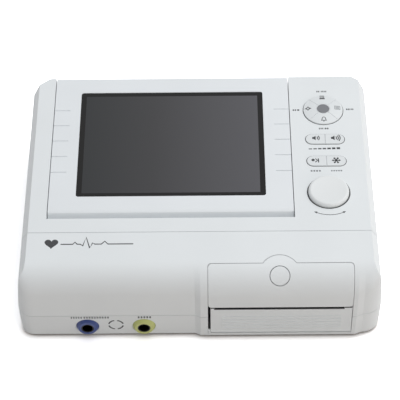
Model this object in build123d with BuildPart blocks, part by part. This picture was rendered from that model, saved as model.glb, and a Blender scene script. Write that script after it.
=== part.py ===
"""Cardiotocograph: a bench monitor with a flip-up screen, a key panel and a paper recorder.

Frame: +X to the operator's right, -Y towards the operator, +Z up. The origin is on the
table, under the middle of the housing. Lengths are in millimetres.
"""
import os
from math import asin, cos, degrees, pi, radians, sin, sqrt

from build123d import *

# Overall housing
width = 334
depth = 258.4
panel_height = 84
floor_height = 3
wall = 2.5
parting_height = 31
shoulder_height = 75
shoulder_inset = 4
crown_inset = 10
side_tuck = 2.5
front_tuck = 1
rear_tuck = 1.5
overrun = 10

# Front of the housing
bulge_rise = 2.6
brow_reach = 103.2
corner_left = 14
corner_right = 18
ramp_left_foot_reach = 11.7
ramp_left_crest_reach = 6.7
ramp_right_crest_reach = 3.8

# Rear corners of the housing
rear_left_along = 20
rear_left_back = 16.5
rear_right_along = 16.5
rear_right_back = 12.5
rear_cut_round = 6

# Joints between the mouldings
cover_seam_y = -71.2
reveal_width = 0.5
reveal_depth = 0.9
seat_gap = 0.3
slide_gap = 0.35
run_gap = 0.05

# Flip-up screen
screen_left_inset = 26.8
screen_right_inset = 79.7
screen_thick = 22
barrel_radius = 12
barrel_y = -41.9
barrel_flat_tilt = 50
barrel_flat_drop = 1.2
screen_rear_round = 2
screen_gap = 0.7
screen_wall = 2.4
screen_split_drop = 13
screen_board_lift = 2
window_border = 50.3
window_rear_border = 20.2
window_front_y = -27.6
window_thick = 1.8
window_drop = 0.7
window_ledge = 3
window_corner = 2.5
lcd_thick = 6
groove_length = 15
groove_width = 0.8
groove_depth = 0.5
groove_pitch = 20.3
groove_middle_y = 44.1
grooves_a_side = 5
hinge_shaft_radius = 3
hinge_boss_depth = 4
hinge_boss_radius = 6.5
bush_radius = 6
bush_length = 12
tub_floor = 2.4
bumper_radius = 5

# Key panel
panel_inset = 46.6
pad_y = 82.3
pad_radius = 19.7
pad_edge_rise = 1
pad_crown_rise = 2.8
ok_radius = 5.9
key_gap = 0.6
key_split = 0.4
key_proud = 0.8
key_flange = 1.4
key_flange_thick = 1
key_travel = 0.8
key_round = 0.5
pad_round = 0.3
pill_length = 38.2
pill_width = 13.9
pill_front_y = 15.1
pill_rear_y = 43.6
stub_radius = 1.8
stub_length = 0.4
dome_gap = 0.1
dome_height = 1.8
dome_radius = 3.2
mat_thick = 1
board_thick = 1.6
panel_board_left_inset = 71
panel_board_right_inset = 17
panel_board_front = -50
panel_board_rear = 104
stand_radius = 3
dial_y = -24.7
dial_radius = 19
dial_height = 4.4
dial_sink = 0.4
dial_round = 2.5
dial_dish = 0.6
dial_wall = 2
dial_cap = 1.2
dial_clearance = 0.8
dial_recess_depth = 1.5
dial_travel = 0.8
encoder_side = 13
encoder_height = 3.6
encoder_bush_radius = 4.4
encoder_shaft_radius = 3
pusher_radius = 2.2
pusher_height = 1.2

# Recorder door
door_inset = 93.8
door_half_width = 66
door_angle = 39
door_edge_rise = 11.8
door_arch_radius = 19.3
door_corner = 3.5
door_arch_blend = 5
button_offset = 1.1
button_radius = 8.7
button_gap = 0.6
slot_height = 3
slot_top_height = 45
slot_length = 118.8
slot_offset = 1
apron_left_inset = 2.4
apron_right_inset = 0.5
apron_thick = 2.4
apron_set_back = 0.5
rib_rise = 0.45
rib_width = 1
rib_pitch = 4.1
rib_count = 5
rib_low_height = 14.4
rib_left_inset = 12.8
rib_right_inset = 10.2
cheek_thick = 2
cheek_depth = 12
cheek_lift = 1.2
hinge_pin_radius = 1.25
hinge_barrel_radius = 3
hinge_height = 9.3
hinge_y = -126
pin_lug_width = 2.6
lip_gap = 0.3

# Recorder mechanism
plate_thick = 1.5
plate_left_inset = 5.6
plate_right_inset = 9
tray_floor_height = 7
tray_wall = 1.6
tray_height = 34
tray_rear_y = -24
tray_front_y = -121.5
tray_bend = 8
platen_radius = 7
platen_y = -114
platen_height = 41.5
platen_shaft_radius = 2.5
platen_end_gap = 1.6
plate_bush_radius = 4
plate_bush_flange = 5.2
gear_module = 0.8
gear_face = 3
gear_gap = 0.4
platen_teeth = 24
idler_teeth = 30
pinion_teeth = 12
idler_bearing_degrees = 23
pinion_bearing_degrees = 20
idler_stud_radius = 2
motor_shaft_radius = 1.5
motor_radius = 14
motor_length = 20
motor_tab_span = 34
head_thick = 4
head_depth = 15
head_bracket_thick = 1.5
head_contact_gap = 0.3
keeper_width = 12
keeper_thick = 0.6
keeper_hump = 5
bridge_height = 70
bridge_thick = 1.5
bridge_front_y = -102
bridge_rear_y = -93
frame_front_height = 48.5
frame_front_y = -122
frame_rear_height = 38
frame_rear_y = -26
frame_stop_height = 32
frame_stop_width = 8
latch_nose_y = -101
latch_nose_thick = 2
latch_nose_width = 6
latch_nose_gap = 0.5
latch_nose_tip = 72.5
stem_radius = 2
guide_radius = 13.5
guide_bore_radius = 11
guide_depth = 10
guide_thick = 1.5
flange_radius = 10.6

# Probe sockets
socket_blue_share = 0.38954
socket_green_share = 0.70954
socket_height = 14.6
collar_radius = 10.5
collar_face_radius = 8.4
collar_proud = 2.6
collar_thick = 3.2
socket_bore = 4.9
socket_nose_radius = 5.9
socket_shell_radius = 8
socket_length = 24
socket_bore_depth = 12
insert_thick = 3
insert_radius = 5.6
contact_radius = 0.5
contact_depth = 2
contact_circle_radius = 2.8
contact_count = 6

# Rear panel
inlet_inset = 48
inlet_width = 27.4
inlet_lift = 2.6
inlet_headroom = 3.4
inlet_depth = 21
inlet_flange = 2
inlet_flange_thick = 1.8
inlet_socket_width = 24
inlet_socket_height = 16.4
inlet_socket_depth = 17
inlet_blade_setback = 4.8
blade_width = 4
blade_thick = 2
blade_spacing = 14
blade_earth_rise = 4
rocker_width = 19
rocker_angle = 12
port_board_share = 0.55556
port_width = 16
port_height = 13.5
port_length = 21
port_mouth_width = 11.8
port_mouth_height = 8.2
port_mouth_depth = 13

# Underside and inner pieces
foot_radius = 9
foot_seat = 1
foot_inset = 29
foot_y = 103
boss_radius = 4.5
screw_radius = 1.6
screw_head_radius = 3
screw_head_height = 2
screw_length = 18
screw_seat_height = 22

# Values worked out from the sizes above
half_width = width / 2
half_depth = depth / 2
front_reach = half_depth - bulge_rise
bulge_nose = half_depth - brow_reach
panel_underside = panel_height - wall
base_floor = floor_height + wall
barrel_height = panel_height - barrel_radius
screen_left = screen_left_inset - half_width
screen_right = half_width - screen_right_inset
screen_middle_x = (screen_left + screen_right) / 2
screen_bottom = panel_height - screen_thick
screen_split = panel_height - screen_split_drop
tub_height = barrel_height - barrel_radius - screen_gap
window_width = screen_right - screen_left - window_border
window_height = half_depth - window_rear_border - window_front_y
window_middle_y = window_front_y + window_height / 2
panel_middle_x = half_width - panel_inset
panel_board_left = half_width - panel_board_left_inset
panel_board_right = half_width - panel_board_right_inset
door_middle_x = half_width - door_inset
door_left = door_middle_x - door_half_width
door_right = door_middle_x + door_half_width
ramp_left_foot = door_left - ramp_left_foot_reach
ramp_left_crest = door_left - ramp_left_crest_reach
ramp_right_crest = door_right + ramp_right_crest_reach
apron_left = door_left + apron_left_inset
apron_right = door_right - apron_right_inset
rib_left = door_left + rib_left_inset
rib_right = door_right - rib_right_inset
plate_left_x = door_left + plate_left_inset
plate_right_x = door_right - plate_right_inset
button_x = door_middle_x - button_offset
socket_blue_x = (ramp_left_foot + half_width) * socket_blue_share - half_width
socket_green_x = (ramp_left_foot + half_width) * socket_green_share - half_width
inlet_x = half_width - inlet_inset
inlet_bottom = parting_height + inlet_lift
inlet_height = panel_height - inlet_headroom - inlet_bottom
foot_x = half_width - foot_inset
button_y = -brow_reach - bulge_nose * sin(radians(door_angle))
button_height = panel_height - bulge_nose * (1 - cos(radians(door_angle)))
lip_height = hinge_height - hinge_barrel_radius - lip_gap
slot_bottom_height = slot_top_height - slot_height
cheek_left_x = apron_left + seat_gap
cheek_right_x = apron_right - seat_gap - cheek_thick
door_plane = Plane(
    origin=(button_x, button_y, button_height),
    x_dir=(1, 0, 0),
    z_dir=(0, -sin(radians(door_angle)), cos(radians(door_angle))),
)

os.makedirs("parts", exist_ok=True)


def keep(builder, name):
    """Label a finished piece and write it to its own file."""
    builder.part.label = name
    export_step(builder.part, f"parts/{name}.step")


def span_box(x, y, z, mode=Mode.ADD):
    """A block between two limits on each axis."""
    with Locations(((x[0] + x[1]) / 2, (y[0] + y[1]) / 2, (z[0] + z[1]) / 2)):
        Box(x[1] - x[0], y[1] - y[0], z[1] - z[0], mode=mode)


# Housing form
def side_section(x, front_y, inset):
    """The housing seen from the side, as a face on the plane at x."""
    nose = -front_y - brow_reach
    top = panel_height - inset
    bottom = floor_height + inset
    rear = half_depth - inset
    with BuildSketch(Plane.YZ.offset(x)) as section:
        with BuildLine():
            brow = CenterArc((-brow_reach, top - nose), nose, 90, 90)
            Polyline(
                brow @ 1,
                (front_y, parting_height),
                (front_y + front_tuck, bottom),
                (rear - rear_tuck, bottom),
                (rear, parting_height),
                (rear, top),
                brow @ 0,
            )
        make_face()
    return section.sketch


def corner_sections(centre_x, side, radius, inset):
    """Side sections that carry the front round a corner of the plan."""
    turned = radius - inset
    sections = []
    for angle in (0, 22.5, 45, 67.5, 90):
        x = centre_x + side * turned * sin(radians(angle))
        front_y = radius - front_reach - turned * cos(radians(angle))
        sections.append(side_section(x, front_y, inset))
    return sections


def housing_form(inset):
    """The outer form of the whole housing, with every face moved in by inset."""
    front = inset - front_reach
    bulge = inset - half_depth
    left_x = corner_left - half_width
    right_x = half_width - corner_right
    with BuildPart() as form:
        for section in corner_sections(left_x, -1, corner_left, inset):
            add(section)
        loft()
        add(side_section(left_x, front, inset))
        extrude(amount=ramp_left_foot - left_x, dir=(1, 0, 0))
        add(side_section(ramp_left_foot, front, inset))
        add(side_section(ramp_left_crest, bulge, inset))
        loft(ruled=True)
        add(side_section(ramp_left_crest, bulge, inset))
        extrude(amount=ramp_right_crest - ramp_left_crest, dir=(1, 0, 0))
        add(side_section(ramp_right_crest, bulge, inset))
        add(side_section(right_x, front, inset))
        loft(ruled=True)
        for section in corner_sections(right_x, 1, corner_right, inset):
            add(section)
        loft()
        with BuildSketch(Plane.XZ):
            with BuildLine():
                half = Polyline(
                    (0, panel_height),
                    (half_width - crown_inset, panel_height),
                    (half_width - shoulder_inset, shoulder_height),
                    (half_width, parting_height),
                    (half_width - side_tuck, floor_height),
                    (0, floor_height),
                )
                mirror(half, about=Plane.YZ)
            make_face()
            if inset:
                offset(amount=-inset, kind=Kind.INTERSECTION)
        extrude(amount=half_depth + overrun, both=True, mode=Mode.INTERSECT)
        with BuildSketch():
            with BuildLine():
                Polyline(
                    (-half_width, -half_depth - overrun),
                    (half_width, -half_depth - overrun),
                    (half_width, half_depth - rear_right_back),
                    (half_width - rear_right_along, half_depth),
                    (rear_left_along - half_width, half_depth),
                    (-half_width, half_depth - rear_left_back),
                    close=True,
                )
            make_face()
            cut_corners = vertices().filter_by(lambda corner: corner.Y > 0)
            fillet(cut_corners, radius=rear_cut_round)
            if inset:
                offset(amount=-inset, kind=Kind.INTERSECTION)
        extrude(amount=panel_height + overrun, mode=Mode.INTERSECT)
    return form.part


def door_zone(clearance, bottom):
    """The space of the recorder door, narrower by the clearance on every edge."""
    half = door_half_width - clearance
    rise = door_edge_rise - clearance
    drop = bulge_nose
    with BuildPart() as zone:
        with BuildSketch(door_plane):
            with Locations((button_offset, (rise - drop) / 2)):
                Rectangle(2 * half, rise + drop)
            Circle(door_arch_radius - clearance)
            top_edge = vertices().filter_by(lambda corner: corner.Y > rise / 2)
            outer = top_edge.filter_by(lambda corner: abs(corner.X) > half / 2)
            inner = top_edge.filter_by(lambda corner: abs(corner.X) < half / 2)
            fillet(outer, radius=door_corner)
            fillet(inner, radius=door_arch_blend)
        extrude(amount=2 * bulge_nose, both=True)
        span_box(
            (door_middle_x - half, door_middle_x + half),
            (-half_depth - overrun, bulge_nose / 2 - half_depth),
            (bottom, panel_height - bulge_nose * 3 / 4),
        )
    return zone.part


outer_form = housing_form(0)
inner_form = housing_form(wall)
reveal_form = housing_form(reveal_depth)

with BuildPart() as skin:
    add(outer_form)
    add(reveal_form, mode=Mode.SUBTRACT)
door_opening = door_zone(0, lip_height)

with BuildPart() as seam_reveal:
    add(skin.part)
    span_box(
        (-half_width, half_width),
        (cover_seam_y - reveal_width, cover_seam_y),
        (parting_height, panel_height),
        mode=Mode.INTERSECT,
    )
with BuildPart() as parting_reveal:
    add(skin.part)
    span_box(
        (-half_width, half_width),
        (-half_depth, half_depth),
        (parting_height - reveal_width, parting_height),
        mode=Mode.INTERSECT,
    )

# Rear cover with the well of the screen and the key panel
tub_left = screen_left - screen_gap
tub_right = screen_right + screen_gap
tub_front = barrel_y - barrel_radius - screen_gap
flange_top = panel_underside - seat_gap
flange_bottom = flange_top - key_flange_thick
stub_bottom = flange_bottom - stub_length
dome_top = stub_bottom - key_travel - dome_gap
mat_top = dome_top - dome_height
panel_board_top = mat_top - mat_thick
panel_board_middle = (panel_board_left + panel_board_right) / 2
panel_board_centre_y = (panel_board_front + panel_board_rear) / 2
panel_board_width = panel_board_right - panel_board_left
panel_board_length = panel_board_rear - panel_board_front
pill_rows = (pill_front_y, pill_rear_y)
stand_spots = [
    (panel_board_middle + side * (panel_board_width / 2 - stand_radius), y)
    for side in (-1, 1)
    for y in (
        panel_board_front + stand_radius,
        (pill_front_y + pill_rear_y) / 2,
        panel_board_rear - stand_radius,
    )
]
lug_depth = 13
lug_width = 10
lug_height = 14
lug_rows = (-92, 15, 98)
lug_x = half_width - lug_depth
lug_spots = [(side * (lug_x + boss_radius / 2), y) for side in (-1, 1) for y in lug_rows]


def cut_screw_holes(spots):
    """Holes for the case screws, from their head seats up."""
    with Locations([(x, y, screw_seat_height) for x, y in spots]):
        Cylinder(
            screw_radius,
            screw_length,
            align=(Align.CENTER, Align.CENTER, Align.MIN),
            mode=Mode.SUBTRACT,
        )


def side_lugs(bottom, top):
    """Blocks along both side walls that take the case screws."""
    for side in (-1, 1):
        for y in lug_rows:
            limits = sorted((side * (lug_x - boss_radius / 2), side * half_width))
            span_box(limits, (y - lug_width / 2, y + lug_width / 2), (bottom, top))


with BuildPart() as tub_block:
    span_box(
        (tub_left - wall, tub_right + wall),
        (tub_front - wall, half_depth + overrun),
        (tub_height - tub_floor, panel_height + overrun),
    )
    with Locations(
        Plane.YZ.offset(tub_left - wall) * Pos(barrel_y, barrel_height, -hinge_boss_depth / 2),
        Plane.YZ.offset(tub_right + wall) * Pos(barrel_y, barrel_height, hinge_boss_depth / 2),
    ):
        Cylinder(hinge_boss_radius, hinge_boss_depth)

with BuildPart() as cover_posts:
    with Locations([Pos(x, y, mat_top) for x, y in stand_spots]):
        Cylinder(stand_radius, panel_height - mat_top, align=(Align.CENTER, Align.CENTER, Align.MIN))
    with Locations((panel_middle_x, dial_y, panel_underside - dial_recess_depth)):
        Cylinder(
            dial_radius + dial_clearance + wall,
            dial_recess_depth + wall,
            align=(Align.CENTER, Align.CENTER, Align.MIN),
        )
    side_lugs(parting_height, parting_height + lug_height)

with BuildPart() as cover_cavity:
    add(inner_form)
    add(tub_block.part, mode=Mode.SUBTRACT)
    add(cover_posts.part, mode=Mode.SUBTRACT)

inlet_top = inlet_bottom + inlet_height
inlet_middle = (inlet_bottom + inlet_top) / 2
with BuildPart() as top_cover:
    add(outer_form)
    span_box(
        (-half_width, half_width),
        (cover_seam_y, half_depth),
        (parting_height, panel_height),
        mode=Mode.INTERSECT,
    )
    add(cover_cavity.part, mode=Mode.SUBTRACT)
    span_box(
        (tub_left, tub_right),
        (tub_front, half_depth + overrun),
        (tub_height, panel_height + overrun),
        mode=Mode.SUBTRACT,
    )
    with BuildSketch(Plane.XY.offset(panel_height)):
        with Locations((panel_middle_x, pad_y)):
            Circle(pad_radius)
        with Locations([(panel_middle_x, y) for y in pill_rows]):
            SlotOverall(pill_length, pill_width)
        with Locations((panel_middle_x, dial_y)):
            Circle(encoder_bush_radius + seat_gap)
    extrude(amount=-2 * wall, mode=Mode.SUBTRACT)
    with BuildSketch(Plane.XY.offset(panel_height)):
        with Locations((panel_middle_x, dial_y)):
            Circle(dial_radius + dial_clearance)
    extrude(amount=-dial_recess_depth, mode=Mode.SUBTRACT)
    with BuildSketch(Plane.YZ.offset(tub_left - wall - hinge_boss_depth)):
        with Locations((barrel_y, barrel_height)):
            Circle(hinge_shaft_radius)
    extrude(amount=tub_right - tub_left + 2 * (wall + hinge_boss_depth), mode=Mode.SUBTRACT)
    with BuildSketch(Plane.XZ.offset(-half_depth)):
        with Locations((inlet_x, inlet_middle)):
            Rectangle(inlet_width + 2 * inlet_flange, inlet_height + 2 * inlet_flange)
    extrude(amount=inlet_flange_thick, mode=Mode.SUBTRACT)
    with BuildSketch(Plane.XZ.offset(-half_depth)):
        with Locations((inlet_x, inlet_middle)):
            Rectangle(inlet_width, inlet_height)
    extrude(amount=overrun, mode=Mode.SUBTRACT)
    cut_screw_holes(spot for spot in lug_spots if spot[1] > cover_seam_y)
keep(top_cover, "top_cover")

# Front cover with the curved brow and the recorder opening
with BuildPart() as front_cavity:
    add(inner_form)
    add(cover_posts.part, mode=Mode.SUBTRACT)

with BuildPart() as front_cover:
    add(outer_form)
    span_box(
        (-half_width, half_width),
        (-half_depth, cover_seam_y),
        (parting_height, panel_height),
        mode=Mode.INTERSECT,
    )
    add(front_cavity.part, mode=Mode.SUBTRACT)
    add(door_opening, mode=Mode.SUBTRACT)
    cut_screw_holes(spot for spot in lug_spots if spot[1] < cover_seam_y)
    add(seam_reveal.part, mode=Mode.SUBTRACT)
keep(front_cover, "front_cover")

# Base shell with the battery bay, posts for the boards and the lugs of the door pin
bay_left_inset = 16.8
bay_right_inset = 11.2
bay_left = door_left + bay_left_inset
bay_right = door_right - bay_right_inset
bay_front = -9
bay_rear = 66
bay_wall = 2
bay_ledge = 3
bay_height = 29
door_lid_thick = 1.5
main_board_inset = 17
main_board_gap = 13.2
main_board_left = main_board_inset - half_width
main_board_right = door_left - main_board_gap
port_x = main_board_left + (main_board_right - main_board_left) * port_board_share
main_board_front = -46
main_board_rear = 120
main_board_height = 11
power_board_left_inset = 6.8
power_board_right_inset = 19
power_board_left = door_left + power_board_left_inset
power_board_right = half_width - power_board_right_inset
power_board_front = 71
power_board_rear = 123
power_board_height = 9.5
speaker_inset = 49
speaker_x = speaker_inset - half_width
speaker_y = -80
speaker_radius = 20
speaker_height = 9
vent_length = 26
vent_width = 2.2
vent_pitch = 6
vent_count = 5
foot_spots = [(side * foot_x, end * foot_y) for side in (-1, 1) for end in (-1, 1)]
pin_lugs = (
    (door_left - pin_lug_width, door_left),
    (door_right, door_right + pin_lug_width),
)
board_inset = 6


def board_spots(left, right, front, rear):
    """Fixing points near the corners of a circuit board."""
    return [
        (x, y)
        for x in (left + board_inset, right - board_inset)
        for y in (front + board_inset, rear - board_inset)
    ]


main_posts = board_spots(main_board_left, main_board_right, main_board_front, main_board_rear)
power_posts = board_spots(
    power_board_left, power_board_right, power_board_front, power_board_rear
)
with BuildPart() as base_blocks:
    side_lugs(floor_height, parting_height)
    span_box((bay_left, bay_right), (bay_front, bay_rear), (floor_height, bay_height))
    span_box(
        (bay_left + bay_wall, bay_right - bay_wall),
        (bay_front + bay_wall, bay_rear - bay_wall),
        (floor_height, bay_height),
        mode=Mode.SUBTRACT,
    )
    with Locations([Pos(x, y, floor_height) for x, y in main_posts]):
        Cylinder(
            stand_radius,
            main_board_height - floor_height,
            align=(Align.CENTER, Align.CENTER, Align.MIN),
        )
    with Locations([Pos(x, y, floor_height) for x, y in power_posts]):
        Cylinder(
            stand_radius,
            power_board_height - floor_height,
            align=(Align.CENTER, Align.CENTER, Align.MIN),
        )
    for limits in pin_lugs:
        span_box(
            limits,
            (-half_depth, hinge_y + 2 * hinge_barrel_radius),
            (floor_height, hinge_height + hinge_barrel_radius),
        )

socket_face_y = front_tuck * (parting_height - socket_height) / (
    parting_height - floor_height
) - front_reach
collar_front_y = socket_face_y - collar_proud
collar_back_y = collar_front_y + collar_thick
port_bottom = main_board_height + board_thick


def rod(x_from, x_to, radius, y, z, mode=Mode.ADD):
    """A round bar or bore along X."""
    with BuildSketch(Plane.YZ.offset(x_from)) as disc:
        with Locations((y, z)):
            Circle(radius)
    extrude(disc.sketch, amount=x_to - x_from, mode=mode)


def bar(y_from, y_to, radius, x, mode=Mode.ADD):
    """A round bar or bore along Y at the height of the sockets."""
    with BuildSketch(Plane.XZ.offset(-y_to)) as disc:
        with Locations((x, socket_height)):
            Circle(radius)
    extrude(disc.sketch, amount=y_to - y_from, mode=mode)


with BuildPart() as base_cavity:
    add(inner_form)
    span_box(
        (-half_width, half_width),
        (-half_depth, half_depth),
        (floor_height, parting_height + overrun),
        mode=Mode.INTERSECT,
    )
    add(base_blocks.part, mode=Mode.SUBTRACT)

with BuildPart() as base_shell:
    add(outer_form)
    span_box(
        (-half_width, half_width),
        (-half_depth, half_depth),
        (floor_height, parting_height),
        mode=Mode.INTERSECT,
    )
    add(base_cavity.part, mode=Mode.SUBTRACT)
    add(door_opening, mode=Mode.SUBTRACT)
    add(parting_reveal.part, mode=Mode.SUBTRACT)
    cut_screw_holes(lug_spots)
    with Locations([(x, y, floor_height) for x, y in lug_spots]):
        Cylinder(
            screw_head_radius,
            screw_seat_height - floor_height,
            align=(Align.CENTER, Align.CENTER, Align.MIN),
            mode=Mode.SUBTRACT,
        )
    with Locations([(x, y, floor_height) for x, y in foot_spots]):
        Cylinder(
            foot_radius,
            foot_seat,
            align=(Align.CENTER, Align.CENTER, Align.MIN),
            mode=Mode.SUBTRACT,
        )
    span_box(
        (bay_left + bay_wall, bay_right - bay_wall),
        (bay_front + bay_wall, bay_rear - bay_wall),
        (floor_height, floor_height + door_lid_thick),
        mode=Mode.SUBTRACT,
    )
    span_box(
        (bay_left + bay_wall + bay_ledge, bay_right - bay_wall - bay_ledge),
        (bay_front + bay_wall + bay_ledge, bay_rear - bay_wall - bay_ledge),
        (floor_height, base_floor),
        mode=Mode.SUBTRACT,
    )
    with BuildSketch(Plane.XY.offset(floor_height)):
        with Locations((speaker_x, speaker_y)):
            with GridLocations(0, vent_pitch, 1, vent_count):
                SlotOverall(vent_length, vent_width)
    extrude(amount=wall, mode=Mode.SUBTRACT)
    for x in (socket_blue_x, socket_green_x):
        bar(collar_front_y, collar_back_y, collar_radius + seat_gap, x, mode=Mode.SUBTRACT)
        bar(
            collar_back_y,
            collar_back_y + overrun,
            socket_shell_radius + run_gap,
            x,
            mode=Mode.SUBTRACT,
        )
    rod(
        door_left - pin_lug_width,
        door_right + pin_lug_width,
        hinge_pin_radius,
        hinge_y,
        hinge_height,
        mode=Mode.SUBTRACT,
    )
    span_box(
        (port_x - port_width / 2 - seat_gap, port_x + port_width / 2 + seat_gap),
        (main_board_rear, half_depth),
        (port_bottom - seat_gap, port_bottom + port_height + seat_gap),
        mode=Mode.SUBTRACT,
    )
keep(base_shell, "base_shell")

# Flip-up screen
pane_top = panel_height - window_drop
pane_bottom = pane_top - window_thick
lcd_bottom = pane_bottom - lcd_thick
screen_board_height = screen_bottom + screen_wall + screen_board_lift
screen_board_width = 120
screen_board_length = 80
shaft_outer_left = tub_left - wall - hinge_boss_depth
shaft_outer_right = tub_right + wall + hinge_boss_depth
shaft_inner_left = screen_left + bush_length
shaft_inner_right = screen_right - bush_length

barrel_flat_plane = Plane(
    origin=(screen_middle_x, barrel_y, barrel_height),
    x_dir=(1, 0, 0),
    z_dir=(0, -sin(radians(barrel_flat_tilt)), cos(radians(barrel_flat_tilt))),
)

with BuildPart() as screen_solid:
    span_box(
        (screen_left, screen_right),
        (barrel_y, half_depth),
        (screen_bottom, panel_height),
    )
    rear_edges = edges().filter_by_position(Axis.Y, half_depth, half_depth)
    fillet(rear_edges, radius=screen_rear_round)
    rod(screen_left, screen_right, barrel_radius, barrel_y, barrel_height)
    with Locations(barrel_flat_plane.offset(barrel_radius - barrel_flat_drop)):
        Box(
            screen_right - screen_left + 2 * overrun,
            2 * barrel_radius,
            overrun,
            align=(Align.CENTER, Align.CENTER, Align.MIN),
            mode=Mode.SUBTRACT,
        )
    for side, edge in ((1, screen_left), (-1, screen_right)):
        with Locations((edge + side * groove_length / 2, groove_middle_y, panel_height)):
            with GridLocations(0, groove_pitch, 1, grooves_a_side):
                Box(groove_length, groove_width, 2 * groove_depth, mode=Mode.SUBTRACT)
    rod(
        screen_left,
        shaft_inner_left + seat_gap,
        bush_radius,
        barrel_y,
        barrel_height,
        mode=Mode.SUBTRACT,
    )
    rod(
        shaft_inner_right - seat_gap,
        screen_right,
        bush_radius,
        barrel_y,
        barrel_height,
        mode=Mode.SUBTRACT,
    )

with BuildPart() as screen_cavity:
    span_box(
        (screen_left + screen_wall, screen_right - screen_wall),
        (window_front_y - window_ledge, half_depth - screen_wall),
        (screen_bottom + screen_wall, panel_height - screen_wall),
    )
    rod(
        shaft_inner_left + screen_wall,
        shaft_inner_right - screen_wall,
        barrel_radius - screen_wall,
        barrel_y,
        barrel_height,
    )

with BuildPart() as screen_bezel:
    add(screen_solid.part)
    add(screen_cavity.part, mode=Mode.SUBTRACT)
    split(bisect_by=Plane.XY.offset(screen_split), keep=Keep.TOP)
    with BuildSketch(Plane.XY.offset(panel_height)):
        with Locations((screen_middle_x, window_middle_y)):
            RectangleRounded(window_width, window_height, window_corner)
    extrude(amount=-screen_wall, mode=Mode.SUBTRACT)
    with BuildSketch(Plane.XY.offset(pane_top)):
        with Locations((screen_middle_x, window_middle_y)):
            Rectangle(window_width + 2 * window_ledge, window_height + 2 * window_ledge)
    extrude(amount=-window_thick, mode=Mode.SUBTRACT)
keep(screen_bezel, "screen_bezel")

with BuildPart() as screen_back:
    add(screen_solid.part)
    add(screen_cavity.part, mode=Mode.SUBTRACT)
    split(bisect_by=Plane.XY.offset(screen_split), keep=Keep.BOTTOM)
    with Locations((screen_middle_x, window_middle_y, screen_board_height)):
        with GridLocations(
            screen_board_width - 2 * board_inset, screen_board_length - 2 * board_inset, 2, 2
        ):
            Cylinder(
                stand_radius,
                screen_board_height - screen_bottom,
                align=(Align.CENTER, Align.CENTER, Align.MAX),
            )
keep(screen_back, "screen_back")

with BuildPart() as screen_window:
    with BuildSketch(Plane.XY.offset(pane_bottom)):
        with Locations((screen_middle_x, window_middle_y)):
            Rectangle(window_width + 2 * window_ledge, window_height + 2 * window_ledge)
    extrude(amount=window_thick)
keep(screen_window, "screen_window")

with BuildPart() as lcd_panel:
    with BuildSketch(Plane.XY.offset(lcd_bottom)):
        with Locations((screen_middle_x, window_middle_y)):
            Rectangle(window_width, window_height)
    extrude(amount=lcd_thick)
keep(lcd_panel, "lcd_panel")

with BuildPart() as screen_board:
    with Locations((screen_middle_x, window_middle_y, screen_board_height)):
        Box(
            screen_board_width,
            screen_board_length,
            board_thick,
            align=(Align.CENTER, Align.CENTER, Align.MIN),
        )
        Box(
            screen_board_width / 2,
            screen_board_length / 4,
            board_thick + lcd_thick / 2,
            align=(Align.CENTER, Align.CENTER, Align.MIN),
        )
keep(screen_board, "screen_board")

with BuildPart() as hinge_bushes:
    rod(screen_left, shaft_inner_left, bush_radius, barrel_y, barrel_height)
    rod(shaft_inner_right, screen_right, bush_radius, barrel_y, barrel_height)
    rod(
        screen_left,
        screen_right,
        hinge_shaft_radius + run_gap,
        barrel_y,
        barrel_height,
        mode=Mode.SUBTRACT,
    )
keep(hinge_bushes, "hinge_bushes")

with BuildPart() as hinge_shafts:
    rod(shaft_outer_left, shaft_inner_left, hinge_shaft_radius, barrel_y, barrel_height)
    rod(shaft_inner_right, shaft_outer_right, hinge_shaft_radius, barrel_y, barrel_height)
keep(hinge_shafts, "hinge_shafts")

bumper_inset = 22
with BuildPart() as screen_bumpers:
    with Locations(
        (screen_left + bumper_inset, half_depth - bumper_inset, tub_height),
        (screen_right - bumper_inset, half_depth - bumper_inset, tub_height),
    ):
        Cylinder(
            bumper_radius,
            screen_bottom - tub_height - seat_gap,
            align=(Align.CENTER, Align.CENTER, Align.MIN),
        )
keep(screen_bumpers, "screen_bumpers")


# Keys of the panel
def pill_outline(centre_y, side, grow):
    """Half of a pill-shaped key pair, larger by grow."""
    with BuildSketch() as outline:
        with Locations((panel_middle_x, centre_y)):
            SlotOverall(pill_length + 2 * grow, pill_width + 2 * grow)
        with Locations((panel_middle_x + side * (key_split + pill_length) / 2, centre_y)):
            Rectangle(pill_length, 2 * pill_width, mode=Mode.INTERSECT)
    return outline.sketch


def sector_outline(turn, outer, inner):
    """One quarter of the round pad, facing the turn angle."""
    start = key_split / sqrt(2)
    with BuildSketch() as outline:
        with Locations((panel_middle_x, pad_y)):
            Circle(outer)
            Circle(inner, mode=Mode.SUBTRACT)
            Polygon(
                (start, 0),
                (start + 2 * outer, -2 * outer),
                (start + 2 * outer, 2 * outer),
                rotation=turn,
                align=None,
                mode=Mode.INTERSECT,
            )
    return outline.sketch


crown_drop = pad_crown_rise - pad_edge_rise
crown_radius = (pad_radius**2 + crown_drop**2) / (2 * crown_drop)
with BuildPart() as pad_crown:
    with BuildSketch(Plane(origin=(panel_middle_x, pad_y, 0), x_dir=(1, 0, 0), z_dir=(0, -1, 0))):
        with BuildLine():
            JernArc(
                (0, panel_height + pad_crown_rise),
                (1, 0),
                crown_radius,
                -degrees(asin(pad_radius / crown_radius)),
            )
            Polyline(
                (pad_radius, panel_height + pad_edge_rise),
                (pad_radius, flange_bottom),
                (0, flange_bottom),
                (0, panel_height + pad_crown_rise),
            )
        make_face()
    revolve(axis=Axis((panel_middle_x, pad_y, 0), (0, 0, 1)))

with BuildPart() as pill_crown:
    span_box(
        (panel_board_left, panel_board_right),
        (panel_board_front, pad_y - pad_radius),
        (flange_bottom, panel_height + key_proud),
    )


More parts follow.
